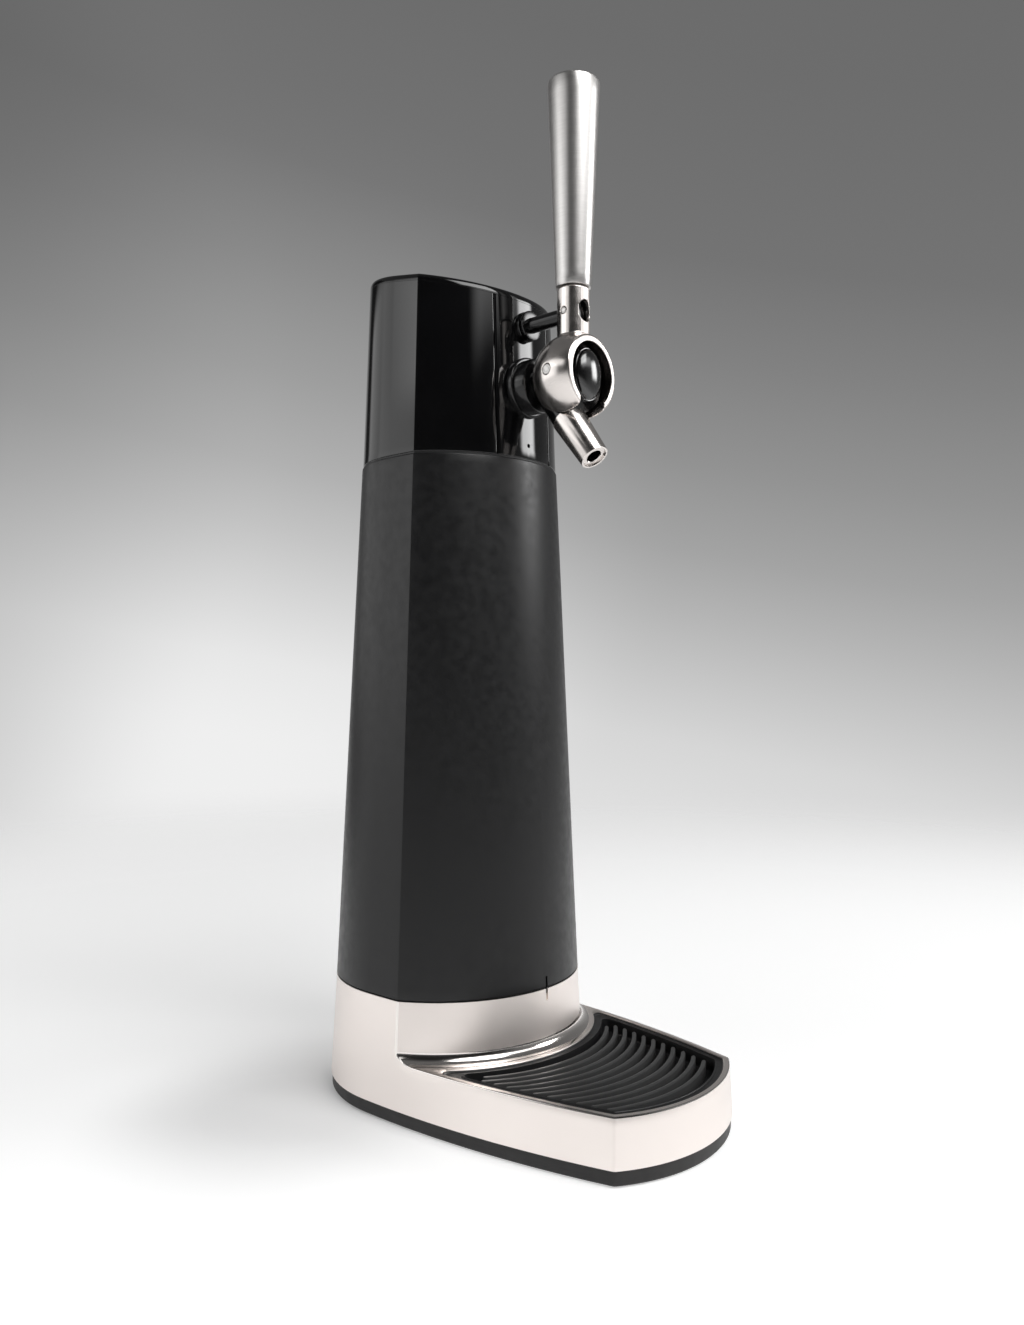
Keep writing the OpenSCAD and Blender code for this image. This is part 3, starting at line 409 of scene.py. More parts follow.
TRAY = finish_of("tray_black", srgb(24, 24, 25), 0.0, 0.42, mottle=0.1, bump=0.4, bump_scale=2000,
                 bump_depth=0.03)
RIB = finish_of("rib_grey", srgb(58, 58, 58), 0.0, 0.36, mottle=0.08, bump=0.4, bump_scale=2000,
                bump_depth=0.03)
TAP_BLACK = finish_of("tap_black", srgb(12, 12, 13), 0.0, 0.16, mottle=0.15, rough_span=0.04, bump=0.1,
                      bump_scale=900, bump_depth=0.02)
INNER_BLACK = finish_of("inner_black", srgb(26, 26, 27), 0.0, 0.5, mottle=0.1, bump=0.4)
INNER_GREY = finish_of("inner_grey", srgb(84, 84, 88), 0.0, 0.5, mottle=0.08, bump=0.4)
RUBBER = finish_of("rubber", srgb(30, 30, 31), 0.0, 0.75, mottle=0.12, bump=0.6, bump_depth=0.05,
                   specular=0.3)
PIN_STEEL = finish_of("pin_steel", srgb(190, 188, 186), 1.0, 0.28, mottle=0.05, bump=0.2)
SCREW_STEEL = finish_of("screw_steel", srgb(170, 169, 168), 1.0, 0.36, mottle=0.08, bump=0.3)
MOTOR_STEEL = finish_of("motor_steel", srgb(182, 180, 177), 1.0, 0.33, mottle=0.06, bump=0.25)
TUBE = finish_of("tube_clear", srgb(214, 214, 208), 0.0, 0.3, mottle=0.04, bump=0.1)
BRASS = finish_of("brass", srgb(196, 170, 108), 1.0, 0.32, mottle=0.08, bump=0.25)
BOARD = finish_of("board_green", srgb(28, 88, 56), 0.0, 0.4, mottle=0.15, mottle_scale=400, bump=0.5)
CELL = finish_of("cell_jacket", srgb(150, 112, 58), 0.2, 0.35, mottle=0.1, bump=0.1)


# Base

EDGE = 0.55
RIM_W = 2.2
COVE_R = 4.5
COVE_FLAT = 1.3
COVE_Z = RIM_Z + COVE_R
LEAN = math.atan(BASE_LEAN)
COVE_C = FRONT_R - base_inset(COVE_Z) + COVE_R / math.cos(LEAN)
TOUCH_Z = COVE_Z - COVE_R * math.sin(LEAN)
RECESS_FLOOR = RIM_Z - 8.0
RECESS_REAR = FRONT_R - base_inset(RIM_Z) + COVE_R + COVE_FLAT
RECESS_FILLET = 2.4
LEAST_FILLET = 1.2
LIP = 0.25
CREASE_N = 10
COVE_N = 14
RIM_N = 30
NOSE_FILLET = 2.6
NOSE_FILLET_N = 6
NOSE_N = 30
WALL_ROWS = 7
FRONT_COLUMNS = 31
# Short upright tick over the seam, at the middle of the front
TICK_HALF = 0.6
TICK_LEN = 4.6
TICK_DEPTH = 0.8
TICK_SIDE = 0.08
# Collar that guides the sleeve, and the well inside it
COLLAR_GAP = 0.3
COLLAR_H = 8.0
COLLAR_EDGE = 0.4
WELL_R = 43.0
WELL_FLOOR = 12.0
WELL_N = 96
UNDER_GAP = 0.02


def cove_point(turn):
    """Radius about the front axis and height of the cove, from the wall (lean) to the rim (90 degrees)."""
    return COVE_C - COVE_R * math.cos(turn), COVE_Z - COVE_R * math.sin(turn)


def nose_plan(inset, start, fillet=NOSE_FILLET):
    """Left outline of the base from a turn on the side arc to the middle of the nose."""
    nose_r = NOSE_R - inset
    side, turn = side_to_front(inset, start, NOSE_C, nose_r, fillet, RIM_N, NOSE_FILLET_N)
    return joined(side, arc(NOSE_C, nose_r, turn, FRONT_TURN, NOSE_N))


def rear_row(inset, end):
    """Left outline of the base from the middle of the back to a turn on the side arc."""
    rear = arc(REAR_C, REAR_R - inset, HALF_PI, math.pi, REAR_N)
    return joined(rear, arc(SIDE_C, SIDE_R - inset, math.pi, end, SIDE_N))


def recess_plan(gap):
    """Closed outline of the tray recess, inset by gap, with rounded corners."""
    inset = base_inset(RIM_Z) + RIM_W + gap
    rear_r = RECESS_REAR + gap
    c = meet(SIDE_C, SIDE_R - inset - RECESS_FILLET, FRONT_C, rear_r + RECESS_FILLET)
    front = nose_plan(inset, turn_of(SIDE_C, c), max(NOSE_FILLET - gap, LEAST_FILLET))
    back = arc(FRONT_C, rear_r, FRONT_TURN, turn_of(FRONT_C, c), FRONT_N)
    corner = arc(c, RECESS_FILLET, turn_of(c, FRONT_C), turn_of(c, front[0]), NOSE_FILLET_N)
    return whole(joined(back, corner, front))


def edge_path():
    """Left edge of the base: down the crease, round the cove, along the rim to the nose.
    Gives the points with the outward directions of the wall and of the upper surface there."""
    points, uppers = [], []
    for z in np.linspace(SEAM_Z, TOUCH_Z, CREASE_N + 1):
        p = meet(SIDE_C, SIDE_R - base_inset(z), FRONT_C, FRONT_R - base_inset(z))
        points.append([*p, z])
        uppers.append([*unit(p - FRONT_C), BASE_LEAN])
    for turn in np.linspace(LEAN, HALF_PI, COVE_N + 1)[1:]:
        r, z = cove_point(turn)
        p = meet(SIDE_C, SIDE_R - base_inset(z), FRONT_C, r)
        points.append([*p, z])
        uppers.append([*(unit(p - FRONT_C) * math.cos(turn)), math.sin(turn)])
    walls = [[*unit(np.array(p[:2]) - SIDE_C), BASE_LEAN] for p in points]
    rim = nose_plan(base_inset(RIM_Z), turn_of(SIDE_C, points[-1]))
    along = units(np.gradient(rim, axis=0))
    for p, t in list(zip(rim, along))[1:]:
        points.append([*p, RIM_Z])
        walls.append([t[1], -t[0], BASE_LEAN])
        uppers.append([0.0, 0.0, 1.0])
    return np.array(points), units(np.array(walls)), units(np.array(uppers))


def offsets(points, walls, uppers, width):
    """The edge moved by width down the wall and into the upper surface."""
    run = units(np.gradient(points, axis=0))
    down = np.cross(walls, run)
    down *= -np.sign(np.sum(down * uppers, axis=1))[:, None]
    inner = np.cross(uppers, run)
    inner *= -np.sign(np.sum(inner * walls, axis=1))[:, None]
    low = points + width * units(down)
    high = points + width * units(inner)
    low[-1, 0] = 0.0
    high[-1, 0] = 0.0
    return low, high


def wall_point(k, z, turns):
    """Point of the lower wall in column k: on the rear arc, the side arc or the way round the nose."""
    inset = base_inset(z)
    j = k - REAR_N - SIDE_N
    if k < REAR_N:
        a = HALF_PI * (1 + k / REAR_N)
        return [(REAR_R - inset) * math.cos(a), BOTTLE_Y + (REAR_R - inset) * math.sin(a), z]
    if j < len(turns) - 1:
        a = turns[j] if j >= 0 else math.pi + (turns[0] - math.pi) * (k - REAR_N) / SIDE_N
        return [*(SIDE_C + (SIDE_R - inset) * np.array([math.cos(a), math.sin(a)])), z]
    return [*nose_plan(inset, turns[-2])[j - len(turns) + 2], z]


def front_row(edge):
    """Row of the front wall or cove from a point of the left edge, with columns for the tick."""
    r = np.hypot(*(edge[:2] - FRONT_C))
    marks = [FRONT_TURN - x / r for x in (TICK_HALF, TICK_HALF - TICK_SIDE)]
    plain = np.linspace(turn_of(FRONT_C, edge), marks[0], FRONT_COLUMNS)
    row = at_z(on_circle(FRONT_C, r, np.concatenate([plain, [marks[1], FRONT_TURN]])), edge[2])
    row[0] = edge
    row[-1, 0] = 0.0
    return both_sides(row)


def base_shell():
    build = Build()
    points, walls, uppers = edge_path()
    low, high = offsets(points, walls, uppers, EDGE)
    mid = 0.25 * low + 0.5 * points + 0.25 * high
    n_crease = CREASE_N + 1
    n_edge = n_crease + COVE_N
    build.grid([both_sides(low), both_sides(mid), both_sides(high)], mat=1)

    # Wall behind the crease, from the seam down to its foot, and the wall below that
    behind = []
    for p in low[:n_crease]:
        row = at_z(rear_row(base_inset(p[2]), turn_of(SIDE_C, p)), p[2])
        row[-1] = p
        behind.append(row)
    foot = low[n_crease - 1:]
    turns = [turn_of(SIDE_C, p) for p in foot[:COVE_N + 2]]
    columns_z = np.concatenate([np.full(REAR_N + SIDE_N, foot[0, 2]), foot[:, 2]])
    below = []
    for share in np.linspace(0.0, 1.0, WALL_ROWS):
        heights = PLINTH_TOP + (columns_z - PLINTH_TOP) * share
        below.append(np.array([wall_point(k, z, turns) for k, z in enumerate(heights)]))
    below[-1][REAR_N + SIDE_N:] = foot
    for rows in (behind, below, [mirrored(r) for r in behind], [mirrored(r) for r in below]):
        build.grid(rows)

    # Front wall with the tick, and the cove, between the two creases
    tick_z = SEAM_Z - TICK_LEN
    edges = list(high[:n_edge])
    extra = []
    for z in (tick_z + TICK_SIDE, tick_z):
        k = (SEAM_Z - z) / (SEAM_Z - TOUCH_Z) * CREASE_N
        i = int(k)
        extra.append(edges[i] + (edges[i + 1] - edges[i]) * (k - i))
    front_rows = [front_row(e) for e in sorted(edges[:n_crease] + extra, key=lambda e: -e[2])]
    for row in front_rows:
        if row[0, 2] > tick_z + TICK_SIDE / 2:
            row[np.abs(row[:, 0]) < TICK_HALF - TICK_SIDE / 2, 1] += TICK_DEPTH
    build.grid(front_rows)
    cove_rows = [front_row(e) for e in edges[n_crease - 1:]]
    build.grid(cove_rows, mat=1)

    # Rim, recess and its floor
    skirt = at_z(recess_plan(0.0), RIM_Z)
    bridge(build, np.concatenate([both_sides(high[n_edge - 1:]), cove_rows[-1][::-1][1:-1]]), skirt)
    recess = recess_plan(LIP)
    build.grid([skirt, at_z(recess, RIM_Z - LIP), at_z(recess, RECESS_FLOOR)], True)
    build.cap(at_z(recess, RECESS_FLOOR))

    # Top face, guide collar and bottle well
    rear_top = at_z(rear_row(base_inset(SEAM_Z), turn_of(SIDE_C, low[0])), SEAM_Z)
    rear_top[-1] = low[0]
    ring = np.concatenate([rear_top, [mid[0]], front_rows[0], [mid[0] * [-1, 1, 1]],
                           mirrored(rear_top)[:-1]])
    inward = sleeve_inset(SEAM_Z) + WALL + COLLAR_GAP
    collar = at_z(plan(inward), SEAM_Z)
    bridge(build, ring, collar)
    inward += COLLAR_H * SLEEVE_LEAN
    tip = at_z(plan(inward), SEAM_Z + COLLAR_H - COLLAR_EDGE)
    tip_in = at_z(plan(inward + COLLAR_EDGE), SEAM_Z + COLLAR_H)
    build.grid([collar, tip, tip_in], True)
    well = on_circle(REAR_C, WELL_R, np.arange(WELL_N) * TAU / WELL_N + HALF_PI)
    bridge(build, tip_in, at_z(well, SEAM_Z + COLLAR_H))
    build.grid([at_z(well, SEAM_Z + COLLAR_H), at_z(well, WELL_FLOOR)], True)
    build.cap(at_z(well, WELL_FLOOR))

    # Underside
    half = joined(rear_row(SKIN, turns[0]), nose_plan(SKIN, turns[0]))
    build.cap(at_z(whole(half), PLINTH_TOP + UNDER_GAP))
    return build.make("base_skin", [NICKEL, POLISH], 28.0)


PLINTH_IN = 0.6
PLINTH_BEVEL = 0.5
PLINTH_CORNER = 2.4


def foot_plinth():
    build = Build()
    # Extra inset and height of each row, up to the top of the plinth
    levels = [(PLINTH_BEVEL + 0.3, FOOT_H), (PLINTH_BEVEL, FOOT_H + 0.05), (0.1, FOOT_H + PLINTH_BEVEL),
              (0.0, FOOT_H + PLINTH_BEVEL + 0.2), (0.0, PLINTH_TOP)]
    rows = [at_z(plan(PLINTH_IN + extra, True, PLINTH_CORNER), z) for extra, z in levels]
    build.grid(rows, True)
    build.cap(rows[0])
    build.cap(rows[-1])
    return build.make("plinth_skin", [PLINTH], 32.0)


# Drip tray

TRAY_GAP = 0.3
TRAY_TOP = RIM_Z - 0.4
TRAY_FLOOR = RECESS_FLOOR + 2.1
TRAY_BORDER = 3.2
TRAY_ROUND = 0.5
RIB_R = 66.0
RIB_HALF = 0.9
RIB_COUNT = 11
RIB_FIRST = 13.0
RIB_PITCH = 4.85
RIB_END_GAP = 2.4
RIB_TOP = TRAY_TOP - 0.8
RIB_FOOT = TRAY_FLOOR - 0.3
RIB_SHOULDER = 0.45
RIB_N = 41
RIB_END_N = 6
RIB_SEARCH = 0.05
# Least square of a rib's width at its tips, as a share of the full one
RIB_TIP = 0.0004


def rib_reach(cy):
    """Half length of the rib about (0, cy), short of the tray's border."""
    clear = TRAY_GAP + TRAY_BORDER + RIB_END_GAP
    inset = base_inset(RIM_Z) + RIM_W + clear
    x_end = 0.0
    for x in np.arange(0.0, RIB_R, RIB_SEARCH):
        p = np.array([-x, cy - math.sqrt(RIB_R * RIB_R - x * x)])
        inside = np.hypot(*(p - SIDE_C)) < SIDE_R - inset and np.hypot(*(p - NOSE_C)) < NOSE_R - inset
        if not inside or np.hypot(*(p - FRONT_C)) < RECESS_REAR + clear:
            break
        x_end = x
    return math.asin(x_end / RIB_R) * RIB_R


def drip_tray():
    build = Build()
    edge = rounded(TRAY_ROUND)
    inner = TRAY_GAP + TRAY_BORDER
    # The border is a shallow channel between two raised edges
    levels = [(TRAY_GAP + 0.1, RECESS_FLOOR + 0.1)]
    levels += [(TRAY_GAP + TRAY_ROUND - away, TRAY_TOP - inset) for inset, away in edge[::-1]]
    levels += [(inner - TRAY_ROUND + away, TRAY_TOP - inset) for inset, away in edge]
    levels += [(inner + 0.3, TRAY_FLOOR + 0.3), (inner + 0.6, TRAY_FLOOR)]
    rows = [at_z(recess_plan(gap), z) for gap, z in levels]
    build.grid(rows, True)
    build.cap(rows[0])
    build.cap(rows[-1])

    # Ribs, each an arc with rounded shoulders and ends
    end = RIB_HALF * np.sin(np.linspace(HALF_PI, 0, RIB_END_N))
    for k in range(RIB_COUNT):
        cy = NOSE_Y + RIB_FIRST + RIB_PITCH * k + RIB_R
        straight = rib_reach(cy) - RIB_HALF
        even = np.linspace(straight, -straight, RIB_N)[1:-1]
        rows = []
        for t in np.concatenate([straight + end, even, -(straight + end[::-1])]):
            a = -HALF_PI - t / RIB_R
            out = np.array([math.cos(a), math.sin(a)])
            beyond = max(abs(t) - straight, 0.0)
            w = RIB_HALF * math.sqrt(max(1 - (beyond / RIB_HALF) ** 2, RIB_TIP))
            cut = min(RIB_SHOULDER, 0.6 * w)
            side = [(w, RIB_FOOT), (w, RIB_TOP - cut), (w - 0.3 * cut, RIB_TOP - 0.3 * cut),
                    (w - cut, RIB_TOP)]
            profile = side + [(-d, z) for d, z in side[::-1]]
            rows.append([[*(np.array([0.0, cy]) + (RIB_R + d) * out), z] for d, z in profile])
        build.grid(rows, True, 1)
        build.cap(rows[0], 1)
        build.cap(rows[-1], 1)
    return build.make("tray_skin", [TRAY, RIB], 40.0)


# Tower

SLEEVE_EDGE = 0.6
CREASE = 0.7
# Even rows of the sleeve, from this height to this far below its top
SLEEVE_EVEN = 60.0
SLEEVE_TOP_GAP = 4.0
SLEEVE_N = 14


def sleeve_row(inset):
    """Outline of the sleeve, with columns for the tick at the middle of its front."""
    half = half_plan(inset, False, CREASE, TICK_HALF)
    x = np.array([-TICK_HALF + TICK_SIDE, 0.0])
    return whole(np.concatenate([half, at_x(FRONT_C, FRONT_R - inset, x, -1)]))


def tower_sleeve():
    build = Build()
    edge = rounded(SLEEVE_EDGE)
    levels = [(SLEEVE_LOW + up, inset) for inset, up in edge]
    levels += [(SLEEVE_LOW + TICK_LEN - TICK_SIDE, 0.0), (SLEEVE_LOW + TICK_LEN, 0.0)]
    levels += [(z, 0.0) for z in np.linspace(SLEEVE_EVEN, SLEEVE_HIGH - SLEEVE_TOP_GAP, SLEEVE_N)]
    levels += [(SLEEVE_HIGH - up, inset) for inset, up in edge[::-1]]
    rows = []
    for z, extra in levels:
        row = sleeve_row(sleeve_inset(z) + extra)
        if z < SLEEVE_LOW + TICK_LEN - TICK_SIDE / 2:
            tick = (np.abs(row[:, 0]) < TICK_HALF - TICK_SIDE / 2) & (row[:, 1] < BOTTLE_Y)
            row[tick, 1] += TICK_DEPTH
        rows.append(at_z(row, z))
    inner = [at_z(sleeve_row(sleeve_inset(z) + WALL), z) for z in (SLEEVE_HIGH, SLEEVE_LOW)]
    build.grid([*rows, *inner, rows[0]], True)
    return build.make("sleeve_skin", [CHARCOAL], 24.0)


HEAD_CREASE = 0.5
HEAD_EDGE = 0.4
PANEL_HALF = 16.0
STRIP = PANEL_HALF + 0.35
DOOR_HALF = 28.0
DOOR_LOW = HEAD_Z + 9.0
DOOR_HIGH = DOOR_LOW + 40.0
DOOR_COLUMNS = 8
HEAD_REAR_N = 14
SEAM_ROUND = 0.8
# Rows bend from level to the slope of the top above this height
BEND_Z = 317.0
# Height near the top of the head, at which the upper outline of its walls is taken
HEAD_HIGH = 352.0
# Rounds of moving a row onto the sloped top
SETTLE = 6


def head_half(inset, seam_insets):
    """Left half of the head's outline: even columns across the door, then round to the panel's seam.
    seam_insets lists (inset, distance) of the rounded edge at the seam."""
    r = REAR_R - inset
    door = at_x(REAR_C, r, np.linspace(0.0, -DOOR_HALF, DOOR_COLUMNS + 1), 1)
    rear = arc(REAR_C, r, turn_of(REAR_C, door[-1]), math.pi, HEAD_REAR_N)
    front_r = FRONT_R - inset
    side, turn = side_to_front(inset, math.pi, FRONT_C, front_r, HEAD_CREASE, SIDE_N, FILLET_N)
    front = arc(FRONT_C, front_r, turn, math.pi + math.acos((STRIP + SEAM_ROUND) / front_r), FRONT_N)
    extra, away = np.array(seam_insets[-2::-1]).T
    seam = at_x(FRONT_C, front_r - extra, -(STRIP + away), -1)
    return np.concatenate([joined(door, rear, side, front), seam])


def head_rows(plan_of, levels, drop):
    """Rows of an outline from the seam up to the sloped top. A level is a height, a share of the way
    from there to the top, and an extra inset; plan_of gives the outline for an inset."""
    low = plan_of(head_inset(HEAD_LOW))
    high = plan_of(head_inset(HEAD_HIGH))
    rows = []
    for height, lift, extra in levels:
        shift = 0.0
        if extra:
            shift = plan_of(head_inset(height) + extra) - plan_of(head_inset(height))
        z = np.full(len(low), height)
        for _ in range(SETTLE):
            p = low + (high - low) * ((z - HEAD_LOW) / (HEAD_HIGH - HEAD_LOW))[:, None] + shift
            z = height + lift * (top_at(p[:, 1], drop) - height)
        rows.append(np.column_stack([p, z]))
    return np.array(rows)


def head_shell():
    build = Build()
    seams = rounded(SEAM_ROUND)
    flat = [(0.0, away) for _, away in seams]

    def strip(inset):
        return both_sides(mirrored(head_half(inset, seams)))

    def inner_strip(inset):
        return both_sides(mirrored(head_half(inset + WALL, flat)))

    levels = [(HEAD_LOW + up, 0.0, inset) for inset, up in rounded(HEAD_EDGE)]
    levels += [(z, 0.0, 0.0) for z in (HEAD_LOW + 3.0, DOOR_LOW, 285.0, 295.0, 305.0, DOOR_HIGH)]
    levels += [(BEND_Z, lift, 0.0) for lift in (0.0, 0.25, 0.5, 0.75, 1.0)]
    outer = head_rows(strip, levels, LID_T)
    inner = head_rows(inner_strip, [(z, lift, 0.0) for z, lift, _ in levels], LID_T)
    r0 = levels.index((DOOR_LOW, 0.0, 0.0))
    r1 = levels.index((DOOR_HIGH, 0.0, 0.0))
    middle = outer.shape[1] // 2
    c0, c1 = middle - DOOR_COLUMNS, middle + DOOR_COLUMNS

    def keep(r, c):
        return not (c0 <= c < c1 and r0 <= r < r1)

    build.grid(outer, keep=keep)
    build.grid(inner, keep=keep)
    close_edges(build, outer, inner)
    close_edges(build, outer[r0:r1 + 1, c0:c1 + 1], inner[r0:r1 + 1, c0:c1 + 1])
    return build.make("head_skin", [GLOSS], 30.0)


# Small round hole low in the front panel, in a square of cells
HOLE_Z = HEAD_Z + 6.0
HOLE_R = 0.8
HOLE_DEEP = 1.6
HOLE_CELL = 0.55
PANEL_TOP_Z = 332.0
PANEL_TOP_GAP = 0.02


def panel_rows(columns, levels, depth):
    x, side = np.array(columns).T
    rows = []
    for z, extra in levels:
        r = FRONT_R - head_inset(z) - extra - side - depth
        rows.append(at_z(at_x(FRONT_C, r, x, -1), z))
    return np.array(rows)


def head_front_panel():
    build = Build()
    right = [(x, 0.0) for x in (HOLE_CELL, 2 * HOLE_CELL, 3.0, 5.0, 7.5, 10.0, 12.5, 14.5)]
    right += [(PANEL_HALF - away, inset) for inset, away in rounded(SEAM_ROUND)[::-1]]
    columns = [(-x, e) for x, e in right[::-1]] + [(0.0, 0.0)] + right
    levels = [(HEAD_LOW + up, inset) for inset, up in rounded(HEAD_EDGE)]
    levels += [(HOLE_Z + k * HOLE_CELL, 0.0) for k in (-2, -1, 0, 1, 2)]
    levels += [(z, 0.0) for z in (276.0, 284.0, 292.0, 300.0, 308.0, 316.0, 322.0, 326.0)]
    levels += [(top_at(panel_y(PANEL_TOP_Z), LID_T) - PANEL_TOP_GAP, 0.0)]
    outer = panel_rows(columns, levels, 0.0)
    inner = panel_rows([(x, 0.0) for x, _ in columns], [(z, 0.0) for z, _ in levels], WALL)
    for rows in (outer, inner):
        rows[-1, :, 2] = top_at(rows[-1, :, 1], LID_T) - PANEL_TOP_GAP
    mid_c = len(columns) // 2
    mid_r = [z for z, _ in levels].index(HOLE_Z)

    def keep(r, c):
        return not (mid_r - 2 <= r < mid_r + 2 and mid_c - 2 <= c < mid_c + 2)

    build.grid(outer, keep=keep)
    build.grid(inner)
    close_edges(build, outer, inner)
    steps = range(-2, 2)
    square = [(mid_r - 2, mid_c + k) for k in steps] + [(mid_r + k, mid_c + 2) for k in steps]
    square += [(mid_r + 2, mid_c - k) for k in steps] + [(mid_r - k, mid_c - 2) for k in steps]
    loops = [np.array([outer[r, c] for r, c in square])]
    a = np.arctan2(loops[0][:, 2] - HOLE_Z, loops[0][:, 0])
    y = panel_y(HOLE_Z)
    for r, back in ((HOLE_R + 0.1, 0.0), (HOLE_R, 0.12), (HOLE_R, HOLE_DEEP), (0.02, HOLE_DEEP)):
        loops.append(np.column_stack([r * np.cos(a), np.full(len(a), y + back), HOLE_Z + r * np.sin(a)]))
    build.grid(loops, True)
    return build.make("panel_skin", [GLOSS], 30.0)


# Heights below, in and above the sloped lid
LID_LOW = 318.0
LID_MID = 338.0
LID_HIGH = 356.0
LID_EDGE_IN = 1.2
LID_EDGE_DOWN = 2.4
LID_EDGE_N = 8
LID_CENTRE_Y = BOTTLE_Y - 2.0


def lid_row(extra, drop):
    """Outline of the head on a plane that lies drop below the sloped top."""
    low = plan(head_inset(LID_LOW) + extra, False, HEAD_CREASE)
    high = plan(head_inset(LID_HIGH) + extra, False, HEAD_CREASE)
    z = np.full(len(low), LID_MID)
    for _ in range(SETTLE):
        p = low + (high - low) * ((z - LID_LOW) / (LID_HIGH - LID_LOW))[:, None]
        z = top_at(p[:, 1], drop)
    return np.column_stack([p, z])


def head_top():
    build = Build()
    rows = [lid_row(WALL, LID_T), lid_row(0.12, LID_T), lid_row(0.0, LID_T - 0.12)]
    for t in np.linspace(0, HALF_PI, LID_EDGE_N):
        rows.append(lid_row(LID_EDGE_IN * (1 - math.cos(t)), LID_EDGE_DOWN * (1 - math.sin(t))))
    last = rows[-1]
    middle = np.array([0.0, LID_CENTRE_Y, top_at(LID_CENTRE_Y)])
    for share in (0.9, 0.7, 0.45, 0.2, 0.01):
        rows.append(middle + (last - middle) * share)
    build.grid(rows, True)
    build.cap(rows[0])
    return build.make("lid_skin", [GLOSS], 30.0)


# Battery cover, with a finger dent near its top
COVER_GAP = 0.3
COVER_EDGE = 0.4
COVER_EVEN = 1.2
COVER_COLUMNS = 70
COVER_ROWS = 48
COVER_HALF = DOOR_HALF - COVER_GAP
COVER_LOW = DOOR_LOW + COVER_GAP
COVER_HIGH = DOOR_HIGH - COVER_GAP
DENT_R = 7.0
DENT_Z = COVER_HIGH - DENT_R
DENT_Y = BOTTLE_Y + REAR_R - head_inset(DENT_Z) + DENT_R - WALL / 2


def battery_cover():
    build = Build()
    edge = rounded(COVER_EDGE)
    seam = [(COVER_HALF - away, inset) for inset, away in edge]
    even = np.linspace(-COVER_HALF + COVER_EVEN, COVER_HALF - COVER_EVEN, COVER_COLUMNS)
    columns = [(-x, e) for x, e in seam] + [(x, 0.0) for x in even] + seam[::-1]
    levels = [(COVER_LOW + up, inset) for inset, up in edge]
    levels += [(z, 0.0) for z in np.linspace(COVER_LOW + COVER_EVEN, COVER_HIGH - COVER_EVEN, COVER_ROWS)]
    levels += [(COVER_HIGH - up, inset) for inset, up in edge[::-1]]
    x, side = np.array(columns).T
    outer, inner = [], []
    for z, extra in levels:
        row = at_x(REAR_C, REAR_R - head_inset(z) - np.maximum(extra, side), x, 1)
        ball = DENT_R ** 2 - x * x - (z - DENT_Z) ** 2
        dent = DENT_Y - np.sqrt(np.maximum(ball, 0.0))
        row[:, 1] = np.where(ball > 0, np.minimum(row[:, 1], dent), row[:, 1])
        outer.append(at_z(row, z))
        inner.append(at_z(at_x(REAR_C, REAR_R - head_inset(z) - WALL, x, 1), z))
    outer, inner = np.array(outer), np.array(inner)
    build.grid(outer)
    build.grid(inner)
    close_edges(build, outer, inner)
    return build.make("cover_skin", [GLOSS], 30.0)


# Tap

PIVOT_Y = BOTTLE_Y - 63.15
PIVOT_Z = 296.5
PIVOT = np.array([0.0, PIVOT_Y, PIVOT_Z])
ROD_LIFT = 26.0
ROD_Z = PIVOT_Z + ROD_LIFT
ROD_R = 3.2
ROD_LEN = 70.0
BALL_R = 17.4
BALL_WALL = 2.2
BALL_AHEAD = 1.3
BALL_Y = PIVOT_Y - BALL_AHEAD
FACE_CUT = 8.8
RING_R = 12.0
RING_LEAN = 0.1
YOKE_HALF = 7.6
YOKE_H = 10.6
FERRULE_R = 6.6
FERRULE_LEN = 35.6
FERRULE_LOW = 8.0
SLOT_R = 3.6
SLOT_HALF = 5.5
SLOT_END = 4.25
SIGHT_R = 3.4
SIGHT_HALF = 4.4
PIVOT_PIN_R = 2.2
PIVOT_PIN_GAP = 7.1
ROD_PIN_R = 1.45
CORE_R = BALL_R - BALL_WALL - 0.6
CORE_FRONT = 4.0
CORE_DISH = 1.3
DOME_RIM = 6.3
DOME = (7.6, 3.5, 10.2)
DOME_STEP = 0.4
DOME_N = 64
SPOUT_BACK = 14.4
SPOUT_LEAN = math.radians(36.9)
SPOUT_REACH = 42.4
SPOUT_LEN = 22.5
SPOUT_BORE = 3.1
HANDLE_LOW = PIVOT_Z + FERRULE_LEN + 0.6
HANDLE_LEN = 83.8
HANDLE_LOW_R = 7.15
HANDLE_TOP_R = 10.6
HANDLE_EDGE = 1.0
# Radius at which a turned end closes
TIP = 0.02
# Cells of the shell's mesh, finer across the face of the ring
NET_STEP = 0.36
NET_FINE = 0.12
NET_FINE_SPAN = 2.0
# Pulls onto the surface, the least squared slope for these, and the most a pull moves, in cells
NET_PULLS = 3
NET_LEAST = 0.2
NET_MOVE = 0.4
# Faces of the shell that look this far to the front belong to the ring
RING_FACING = -0.9
NORMAL_STEP = 0.05


def along_y(y, z):
    """Turns a lathe's height into +Y from the point (0, y, z)."""
    return Matrix.Translation((0, y, z)) @ Matrix.Rotation(-HALF_PI, 4, "X")


def spout_axis():
    """Frame of the spout: the branch point, with +Z up along the spout."""
    return Matrix.Translation((0, PIVOT_Y + SPOUT_BACK, PIVOT_Z)) @ Matrix.Rotation(-SPOUT_LEAN, 4, "X")


def slope_of(field, points, h=0.02):
    """Gradient of a distance field."""
    x, y, z = points.T
    return np.stack([field(x + h, y, z) - field(x - h, y, z), field(x, y + h, z) - field(x, y - h, z),
                     field(x, y, z + h) - field(x, y, z - h)], 1) / (2 * h)


